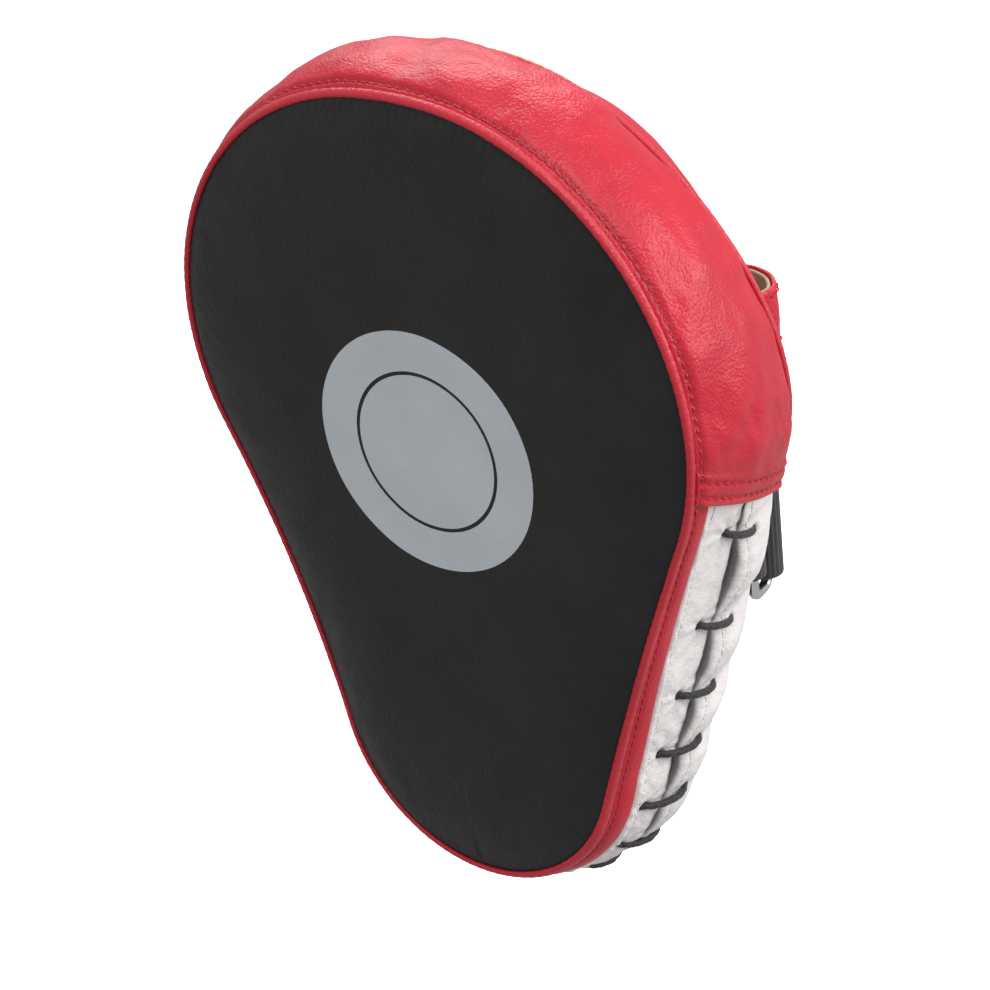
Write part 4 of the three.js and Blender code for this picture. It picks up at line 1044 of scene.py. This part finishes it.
def divider(k):
    node = f"finger_divider_{k}"
    low, high = (np.array(corner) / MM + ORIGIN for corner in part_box(node))
    middle = (low[0] + high[0]) / 2
    x, y = np.meshgrid(np.linspace(0, 1, 40), np.linspace(0, 1, 30), indexing="ij")
    t = HOOD_MOUTH + 8 + (HOOD_TIP - 22 - HOOD_MOUTH - 8) * x
    along = (t - HOOD_MOUTH) / (HOOD_TIP - HOOD_WALL - GAP - HOOD_MOUTH)
    flank = flank_at(t, 0) + back_flare(t) - HOOD_EDGE_INSET - HOOD_WALL - GAP
    arch = np.sin(np.arccos(middle / flank)) ** HOOD_ARCH
    top = (HOOD_HEIGHT - HOOD_WALL - GAP) * np.sqrt(1 - along ** 3) * arch
    rise = GAP + (top - 1.2) * y
    sway = 1.2 * np.sin(np.pi * y) * folds(x * 1.7 + k, y, 111 + k)
    sides = [on_back(middle + sway + offset, t, rise) for offset in (-0.6, 0.6)]
    piece(f"finger_web_{k}", *sheet_solid(*sides), "tan_lining", [node])


# ---- bands standing off the back ----
RIB_PITCH = 1.3


def dense(points, steps=60):
    path = catmull(np.array(points, float), steps)
    return path, running_length(path)


def band_place(x, rise, z, middle):
    follow = 1 - smoothstep(rise, 2.5, 8)
    return np.stack(np.broadcast_arrays(
        x, back_y(x, middle + 0 * x) * (1 - follow) + back_y(x, z + 0 * x) * follow + rise, z), -1)


def band(line, first, last, low, high, half, pitch=0.5, offset=0.0, rib=0.0, sag=None,
         round_edge=0.7):
    """A strap: a rounded section swept along a line drawn in X and rise above the back."""
    path, along = line
    where = np.linspace(first, last, max(int((last - first) / pitch), 4))
    x, r = (np.interp(where, along, path[:, k]) for k in (0, 1))
    tx, tr = np.gradient(x), np.gradient(r)
    size = np.hypot(tx, tr)
    nx, nr = -tr / size, tx / size
    z_steps = np.concatenate([[0, 0.12, 0.35, 0.7, 1.1], np.linspace(1.8, high - low - 1.8, 16),
                              (high - low) - np.array([1.1, 0.7, 0.35, 0.12, 0])])
    z = low + z_steps
    edge = np.minimum(z_steps, high - low - z_steps)
    thick = half - rim_drop(edge, round_edge) * half / round_edge * 0.9
    wave = rib * np.cos(2 * np.pi * where / RIB_PITCH)[:, None]
    sway = 0 if sag is None else sag(where[:, None], z_steps[None])
    grids = []
    for side in (1, -1):
        far = offset + side * (thick[None] + wave * (edge > 0.9)) + sway
        grids.append(band_place(x[:, None] + nx[:, None] * far, r[:, None] + nr[:, None] * far, z[None],
                                (low + high) / 2))
    return sheet_solid(*grids)


def on_band(line, where, z, offset, middle):
    """A point beside a strap's middle line, and the direction away from it."""
    path, along = line
    x, r = (np.interp(where, along, path[:, k]) for k in (0, 1))
    tx, tr = (np.interp(where, along, np.gradient(path[:, k], along)) for k in (0, 1))
    out = np.stack([-tr, tx, 0 * tx], -1)
    out /= np.linalg.norm(out, axis=-1)[..., None]
    return band_place(x - tr * offset, r + tx * offset, z, middle), out


THUMB_TOP, THUMB_WIDTH, THUMB_OUTSIDE, THUMB_RISE = 61, 20, 79, 17


def thumb_loop():
    sewn = 1.6
    line = dense([(THUMB_OUTSIDE - 43, sewn), (THUMB_OUTSIDE - 35, sewn + 0.5),
                  (THUMB_OUTSIDE - 25, 0.52 * THUMB_RISE), (THUMB_OUTSIDE - 15, THUMB_RISE),
                  (THUMB_OUTSIDE - 6, 0.94 * THUMB_RISE), (THUMB_OUTSIDE, 0.54 * THUMB_RISE),
                  (THUMB_OUTSIDE - 2, sewn + 1.4), (THUMB_OUTSIDE - 10, sewn)])
    length = line[1][-1]
    low = THUMB_TOP - THUMB_WIDTH

    def wrinkle(a, b):
        return 0.35 * folds(a / 7, b / 9, 121)
    cover = band(line, 0, length, low, THUMB_TOP, 0.65, 0.6, 0.95, sag=wrinkle, round_edge=0.6)
    piece("thumb_loop_cover", *cover, "red_leather", ["thumb_loop"])
    inside = band(line, 0, length, low + 0.5, THUMB_TOP - 0.5, 0.5, 0.6, -0.55, sag=wrinkle, round_edge=0.5)
    piece("thumb_loop_inside", *inside, "tan_lining", ["thumb_loop_lining"])
    parts = []
    for z in (low + 2.2, THUMB_TOP - 2.2):
        where = np.linspace(4, length - 4, 300)
        centre, out = on_band(line, where, np.full(300, z), 1.75, low + THUMB_WIDTH / 2)
        parts.append(stitches((centre, out), 3.4, 2.5))
    stitching("thumb_loop_stitching", "red_leather", parts)


def dome(name, nodes, look, half_width, half_height, centre, base, rise):
    u = np.linspace(0, 2 * np.pi, 220, endpoint=False)
    out = np.concatenate([np.linspace(0.03, 0.85, 50), np.linspace(0.87, 1, 16)])
    out, turn = np.meshgrid(out, u)
    s, t = half_width * np.sin(turn) * out, centre + half_height * np.cos(turn) * out
    swell = base + 0.8 + (rise - 0.8) * (1 - out ** 2.6) - rim_drop((1 - out) * half_height, 0.8)
    return piece(name, *disc_solid(on_back(s, t, swell), on_back(s, t, np.full(s.shape, base))), look, nodes)


PAD_VOXEL = 1.0
PAD_PRESSURE = 6000
PAD_CAP = 1.8
PAD_FRAMES = 20
SEAT_RISE = 1.9


def rise_above_back(points):
    """Height of points (metres, row frame) above the back panel's middle surface, in mm."""
    return points[:, 1] / MM + ORIGIN[1] - back_y(points[:, 0] / MM, points[:, 2] / MM)


def settle(made, cap):
    """Swells a pad with a cloth run: its seat is held and no point moves further than cap mm."""
    scene = bpy.context.scene
    remesh = made.modifiers.new("remesh", "REMESH")
    remesh.mode = "VOXEL"
    remesh.voxel_size = PAD_VOXEL * MM
    even = bpy.data.meshes.new_from_object(made.evaluated_get(bpy.context.evaluated_depsgraph_get()))
    made.modifiers.clear()
    made.data = even
    rest = np.array([v.co for v in even.vertices])
    seat = made.vertex_groups.new(name="seat")
    seat.add([int(k) for k in np.flatnonzero(rise_above_back(rest) < SEAT_RISE)], 1.0, "REPLACE")
    cloth = made.modifiers.new("cloth", "CLOTH")
    cloth.settings.vertex_group_mass = "seat"
    cloth.settings.use_pressure = True
    cloth.settings.uniform_pressure_force = PAD_PRESSURE
    cloth.settings.effector_weights.gravity = 0
    for moment in range(1, PAD_FRAMES + 1):
        scene.frame_set(moment)
    swollen = made.evaluated_get(bpy.context.evaluated_depsgraph_get()).data
    moved = np.array([v.co for v in swollen.vertices]) - rest
    size = np.linalg.norm(moved, axis=1)[:, None]
    made.modifiers.remove(cloth)
    made.vertex_groups.clear()
    moved *= np.minimum(1, cap * MM / np.maximum(size, 1e-9))
    even.vertices.foreach_set("co", (rest + moved).ravel())
    scene.frame_set(1)


def emboss(made, relief):
    """Presses sewn lines and folds into a settled pad."""
    mesh = made.data
    points = np.array([v.co for v in mesh.vertices])
    rise = rise_above_back(points)
    points[:, 1] += relief(points[:, 0] / MM, points[:, 2] / MM) * MM * smoothstep(rise, SEAT_RISE, 5)
    mesh.vertices.foreach_set("co", points.ravel())
    mesh.polygons.foreach_set("use_smooth", [True] * len(mesh.polygons))
    mesh.update()
    made.modifiers.new("smooth", "SUBSURF").render_levels = 1


def palm_pads():
    def ribs(s, t):
        return 0.5 * np.cos(2 * np.pi * t / 4.2)

    def quilting(s, t):
        channel = sum(np.exp(-((s - x) / 1.1) ** 2) for x in (-16, 0, 16))
        return 0.7 * folds(s / 9, t / 9, 131) - 2.2 * channel
    grip = dome("palm_grip_pad", ["palm_grip_cover"], "liner_cloth", 29.3, 19.3, 6, 0.8, 8.6)
    wrist = dome("wrist_cushion", ["wrist_pad"], "liner_cloth", 32, 21, -88, 0.8, 6.8)
    for made, relief in ((grip, ribs), (wrist, quilting)):
        settle(made, PAD_CAP)
        emboss(made, relief)


# ---- hand strap ----
STRAP_WIDTH, STRAP_HEIGHT, STRAP_RISE = 31, -30, 37
STRAP_FLANK = float(flank_at(STRAP_HEIGHT, 0))
STRAP_FOOT_INSET = 2
STRAP_FOOT = STRAP_FOOT_INSET - STRAP_FLANK
STRAP_LOW, STRAP_HIGH = STRAP_HEIGHT - STRAP_WIDTH / 2, STRAP_HEIGHT + STRAP_WIDTH / 2
STRAP_HALF = 0.9
ROD_RADIUS = 1.75
TAB_THICKNESS = 1.6
TAB_SLACK = 0.7
TAB_LENGTH, TAB_HALF_WIDTH = 22, 11
TAB_TURN = ROD_RADIUS + TAB_SLACK + TAB_THICKNESS / 2
RING_INSET = 6
RING_S = STRAP_FLANK - RING_INSET
RING_LENGTH, RING_CORNER = 34, 3.0
RING_PITCH = 9.8
RING_LEAN = math.radians(98)
RING_INNER = np.array([RING_S, GAP + TAB_THICKNESS + GAP + TAB_THICKNESS / 2 + TAB_TURN])
RING_OUTER = RING_INNER + RING_PITCH * np.array([math.cos(RING_LEAN), math.sin(RING_LEAN)])
FOLD_SLACK = 1.4
FOLD_RADIUS = ROD_RADIUS + FOLD_SLACK + STRAP_HALF
FOLD_START, FOLD_END = math.radians(232), math.radians(405)
TAPE_HALF = 0.5
LOOP_TAPE_REACH = (82, 16)
PATCH_LENGTH, PATCH_HALF = 11, 0.8
PATCH_TOP = STRAP_HALF + GAP + 2 * PATCH_HALF + 0.05
HOOK_START = 20
FLAP_TIP_LENGTH = 14
ANCHOR_LENGTH, ANCHOR_HEIGHT = 27, 38


def on_fold(turn):
    turn = np.asarray(turn, float)
    return RING_OUTER + FOLD_RADIUS * np.stack([np.cos(turn), np.sin(turn)], -1)


def three_spline(points, steps=60):
    """The same uniform spline as the CAD's, which repeats its end points."""
    p = np.array(points, float)
    p = np.concatenate([p[:1], p, p[-1:]])
    x = np.linspace(0, 1, steps, endpoint=False)[None, :, None]
    a, b, c, d = (p[k:len(p) - 3 + k, None] for k in range(4))
    v0, v1 = (c - a) / 2, (d - b) / 2
    curve = (2 * b - 2 * c + v0 + v1) * x ** 3 + (-3 * b + 3 * c - 2 * v0 - v1) * x ** 2 + v0 * x + b
    path = np.concatenate([curve.reshape(-1, 2), p[-1:]])
    return path, running_length(path)


def beside(line, where, offset):
    path, along = line
    x, r = (np.interp(where, along, path[:, k]) for k in (0, 1))
    tx, tr = (np.interp(where, along, np.gradient(path[:, k], along)) for k in (0, 1))
    return np.stack([x - tr * offset, r + tx * offset], -1)


def hand_strap():
    """The webbing arch from its sewn foot to the fold round the wire ring."""
    foot = STRAP_HALF + GAP
    arch = three_spline([(STRAP_FOOT, foot), (STRAP_FOOT + 7, foot), (STRAP_FOOT + 13, foot + 1.5),
                         (STRAP_FOOT + 20, foot + 9), (STRAP_FOOT + 30, STRAP_RISE * 0.62),
                         (STRAP_FOOT + 44, STRAP_RISE * 0.91), (0, STRAP_RISE), (22, STRAP_RISE * 0.93),
                         (42, STRAP_RISE * 0.68), on_fold(FOLD_START)])
    length = arch[1][-1]
    turns = np.linspace(FOLD_START, FOLD_END, 120)
    path = np.concatenate([arch[0], on_fold(turns)[1:]])
    whole = (path, running_length(path))
    fold_end = whole[1][-1]
    piece("strap_webbing", *band(whole, 0, fold_end, STRAP_LOW, STRAP_HIGH, STRAP_HALF - 0.1, 0.22, rib=0.13),
          "webbing", ["hand_strap"])
    loop_middle = STRAP_HALF + GAP + TAPE_HALF

    def fuzz(a, b):
        return 0.14 * folds(a / 0.9, b / 0.9, 141)
    far, close = LOOP_TAPE_REACH
    tape = band(arch, length - far, length - close, STRAP_LOW + 2, STRAP_HIGH - 2, TAPE_HALF, 0.4,
                loop_middle, sag=fuzz, round_edge=0.4)
    piece("loop_tape", *tape, "tape_loop", ["loop_patch"])
    patch = band(arch, 0, PATCH_LENGTH, STRAP_LOW - 4, STRAP_HIGH + 4, PATCH_HALF, 0.4,
                 STRAP_HALF + GAP + PATCH_HALF)
    piece("strap_end_patch", *patch, "red_leather", ["strap_anchor_patch"])
    box_line = []
    for z in (STRAP_LOW - 2, STRAP_HIGH + 2):
        centre, out = on_band(arch, np.linspace(1.5, 9.5, 60), np.full(60, z), PATCH_TOP, STRAP_HEIGHT)
        box_line.append(stitches((centre, out), 3.2, 2.4))
    for where in (1.8, 9.2):
        z = np.linspace(STRAP_LOW - 2, STRAP_HIGH + 2, 120)
        centre, out = on_band(arch, np.full(120, where), z, PATCH_TOP, STRAP_HEIGHT)
        box_line.append(stitches((centre, out), 3.2, 2.4))
    stitching("strap_patch_stitching", "red_leather", box_line)
    strap_flap(arch, length)


def strap_flap(arch, length):
    """The strap's free end, folded back on the arch and held by its hook tape."""
    middle = STRAP_HALF + GAP + 1 + GAP + 1 + GAP + STRAP_HALF
    leaving = np.array([-math.sin(FOLD_END), math.cos(FOLD_END)])
    start = on_fold(FOLD_END)
    places = np.linspace(LOOP_TAPE_REACH[1], 74, 6)
    flap = three_spline([start, start + 0.6 * leaving, start + 5.6 * leaving]
                        + [beside(arch, length - place, middle) for place in places])
    long = flap[1][-1]
    tip = long - FLAP_TIP_LENGTH
    woven = band(flap, 0, tip, STRAP_LOW, STRAP_HIGH, STRAP_HALF - 0.1, 0.22, rib=0.13)
    webbing = piece("flap_webbing", *woven, "webbing", ["strap_flap"], body=None)
    seam = band_place(np.array(start[0]), np.array(start[1]), np.array(float(STRAP_HEIGHT)), STRAP_HEIGHT)
    further = start + 7 * leaving
    end = band_place(np.array(further[0]), np.array(further[1]), np.array(float(STRAP_HEIGHT)), STRAP_HEIGHT)
    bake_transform(webbing)

    def bristle(a, b):
        return 0.12 * folds(a / 0.7, b / 0.7, 151)
    tape = band(flap, HOOK_START, tip, STRAP_LOW + 2, STRAP_HIGH - 2, TAPE_HALF, 0.4,
                STRAP_HALF + GAP + TAPE_HALF, sag=bristle, round_edge=0.4)
    piece("hook_tape", *tape, "tape_hook", ["hook_patch"], body="flap")
    tab = band(flap, tip + GAP, long, STRAP_LOW + 1, STRAP_HIGH - 1, 1.15, 0.4)
    piece("flap_end_tab", *tab, "red_leather", ["flap_tip"], body="flap")


def strap_ring():
    long, corner = RING_LENGTH + 2 * ROD_RADIUS, RING_CORNER
    half_long, half_short = long / 2 - corner, RING_PITCH / 2 - corner
    loop = []
    for cx, cy, first in ((half_short, half_long, 0), (-half_short, half_long, 90),
                          (-half_short, -half_long, 180), (half_short, -half_long, 270)):
        angle = np.radians(np.linspace(first, first + 90, 20))
        loop.append(np.stack([cx + corner * np.cos(angle), cy + corner * np.sin(angle)], 1))
    loop = np.concatenate(loop)
    base = float(back_y(np.array(float(RING_S)), np.array(float(STRAP_HEIGHT))))
    centre = (RING_INNER + RING_OUTER) / 2
    path = np.stack([centre[0] + math.cos(RING_LEAN) * loop[:, 0],
                     base + centre[1] + math.sin(RING_LEAN) * loop[:, 0], STRAP_HEIGHT + loop[:, 1]], 1)
    flat = np.array([-math.sin(RING_LEAN), math.cos(RING_LEAN), 0])
    piece("wire_ring", *round_tube(path, ROD_RADIUS, 20, closed=True, up=flat), "steel_wire", ["strap_ring"],
          body="ring")


def ring_tab():
    below, above = RING_INNER[1] - TAB_TURN, RING_INNER[1] + TAB_TURN
    turns = np.linspace(-np.pi / 2, np.pi / 2, 60)
    fold = RING_INNER + TAB_TURN * np.stack([np.cos(turns), np.sin(turns)], -1)
    lower = np.stack([np.linspace(RING_S - TAB_LENGTH, RING_S, 60), np.full(60, below)], 1)
    path = np.concatenate([lower, fold[1:], lower[::-1][1:] + [0, above - below]])
    line = (path, running_length(path))
    woven = band(line, 0, line[1][-1], STRAP_HEIGHT - TAB_HALF_WIDTH, STRAP_HEIGHT + TAB_HALF_WIDTH,
                 0.72, 0.22, rib=0.08, round_edge=0.5)
    piece("ring_tab_webbing", *woven, "webbing", ["ring_tab"])


def anchor_webbing():
    long, high = ANCHOR_LENGTH, ANCHOR_HEIGHT
    x, y = np.meshgrid(spread(long, 0.8, 0.5), spread(high, 0.8, 1.2), indexing="ij")
    z = STRAP_HEIGHT + high * (y - 0.5)
    edge = flank_at(z, 0) + back_flare(z) - 2.5
    across = edge - long * (1 - x)
    rim = np.minimum(np.minimum(x, 1 - x) * long, np.minimum(y, 1 - y) * high)
    rise = TAB_THICKNESS - rim_drop(rim, 0.6) + 0.09 * np.cos(2 * np.pi * across / RIB_PITCH)
    base = back_y(across, z)
    grids = [np.stack([across, base + r, z], -1) for r in (rise, np.full(rise.shape, GAP * 0.5))]
    piece("anchor_patch_webbing", *sheet_solid(*grids), "webbing", ["anchor_webbing"])


def dress_frame():
    """The CAD solids that stay: foam, padding and knots inside."""
    slots = {row["node"]: row["material_slot"] for row in frame["record"]["subparts"]}
    for name, node in frame["nodes"].items():
        node.data.materials.clear()
        node.data.materials.append(LOOKS[slots[name]])


# ---- stage ----
def area_light(name, where, aim, size, power, colour=(1, 1, 1)):
    light = bpy.data.lights.new(name, "AREA")
    light.shape = "RECTANGLE"
    light.size, light.size_y = size
    light.energy = power
    light.color = colour
    lamp = bpy.data.objects.new(name, light)
    bpy.context.scene.collection.objects.link(lamp)
    lamp.location = where
    lamp.rotation_euler = (Vector(aim) - Vector(where)).to_track_quat("-Z", "Y").to_euler()


AZIMUTH, ELEVATION, ROLL = (math.radians(a) for a in (41.52, 28.57, 7.26))
CAMERA_DISTANCE = 0.85
SENSOR_WIDTH, LENS_LENGTH = 36, 107.52
LENS_SHIFT = (0.0604, 0.0165)
FLOOR_HALF, FLOOR_DROP = 6.0, 0.16


def stage():
    """A plain floor with its own light, which neither tints nor shows in the mitt, and four soft lamps."""
    floor = bpy.data.meshes.new("floor")
    half, level = FLOOR_HALF, cad_low[2] - FLOOR_DROP
    floor.from_pydata([(x * half, y * half, level) for x, y in ((-1, -1), (1, -1), (1, 1), (-1, 1))],
                      [], [(0, 1, 2, 3)])
    plane = bpy.data.objects.new("floor", floor)
    bpy.context.scene.collection.objects.link(plane)
    paint = bpy.data.materials.new("floor_paint")
    paint.use_nodes = True
    shader = paint.node_tree.nodes["Principled BSDF"]
    shader.inputs["Base Color"].default_value = (0.93, 0.93, 0.93, 1)
    shader.inputs["Roughness"].default_value = 0.9
    shader.inputs["Emission Color"].default_value = (1, 1, 1, 1)
    shader.inputs["Emission Strength"].default_value = 0.75
    floor.materials.append(paint)
    plane.visible_diffuse = False
    plane.visible_glossy = False
    world = bpy.data.worlds.new("studio")
    world.use_nodes = True
    world.node_tree.nodes["Background"].inputs["Color"].default_value = (1, 1, 1, 1)
    world.node_tree.nodes["Background"].inputs["Strength"].default_value = 0.45
    bpy.context.scene.world = world
    middle = (0.0, -0.03, 0.0)
    area_light("key", (0.55, -0.45, 1.1), middle, (0.8, 0.8), 9)
    area_light("fill", (-0.9, -0.9, 0.35), middle, (1.0, 1.0), 1.0)
    area_light("rim", (0.95, 0.55, 0.4), middle, (0.5, 0.9), 9)
    area_light("top", (-0.55, 0.7, 0.85), middle, (0.9, 0.7), 9)
    bpy.context.scene.view_settings.view_transform = "Standard"
    bpy.context.scene.view_settings.look = "None"


def camera():
    """Looks at the middle of the punched face from the right and above, leaning a little."""
    lens = bpy.data.cameras.new("camera")
    lens.sensor_width = SENSOR_WIDTH
    lens.lens = LENS_LENGTH
    lens.shift_x, lens.shift_y = LENS_SHIFT
    view = bpy.data.objects.new("camera", lens)
    bpy.context.scene.collection.objects.link(view)
    back = Vector((math.sin(AZIMUTH) * math.cos(ELEVATION), -math.cos(AZIMUTH) * math.cos(ELEVATION),
                   math.sin(ELEVATION)))
    right = Vector((math.cos(AZIMUTH), math.sin(AZIMUTH), 0))
    upward = back.cross(right)
    turned = right * math.cos(ROLL) - upward * math.sin(ROLL)
    upward = right * math.sin(ROLL) + upward * math.cos(ROLL)
    target = Vector(tuple(-ORIGIN * MM))
    place = Matrix((turned, upward, back)).transposed().to_4x4()
    place.translation = target + back * CAMERA_DISTANCE
    view.matrix_world = place
    bpy.context.scene.camera = view


def corners(bounds):
    return [[float(v) for v in corner] for corner in bounds]


cad_low = corners(cad_bounds)[0]

camera()
stage()
dress_frame()
facing()
pipings()
upper_gusset()
gusset_stitches()
lower_wall()
lower_stitches()
lace()
back_cover()
finger_hood()
thumb_loop()
palm_pads()
hand_strap()
strap_ring()
ring_tab()
anchor_webbing()
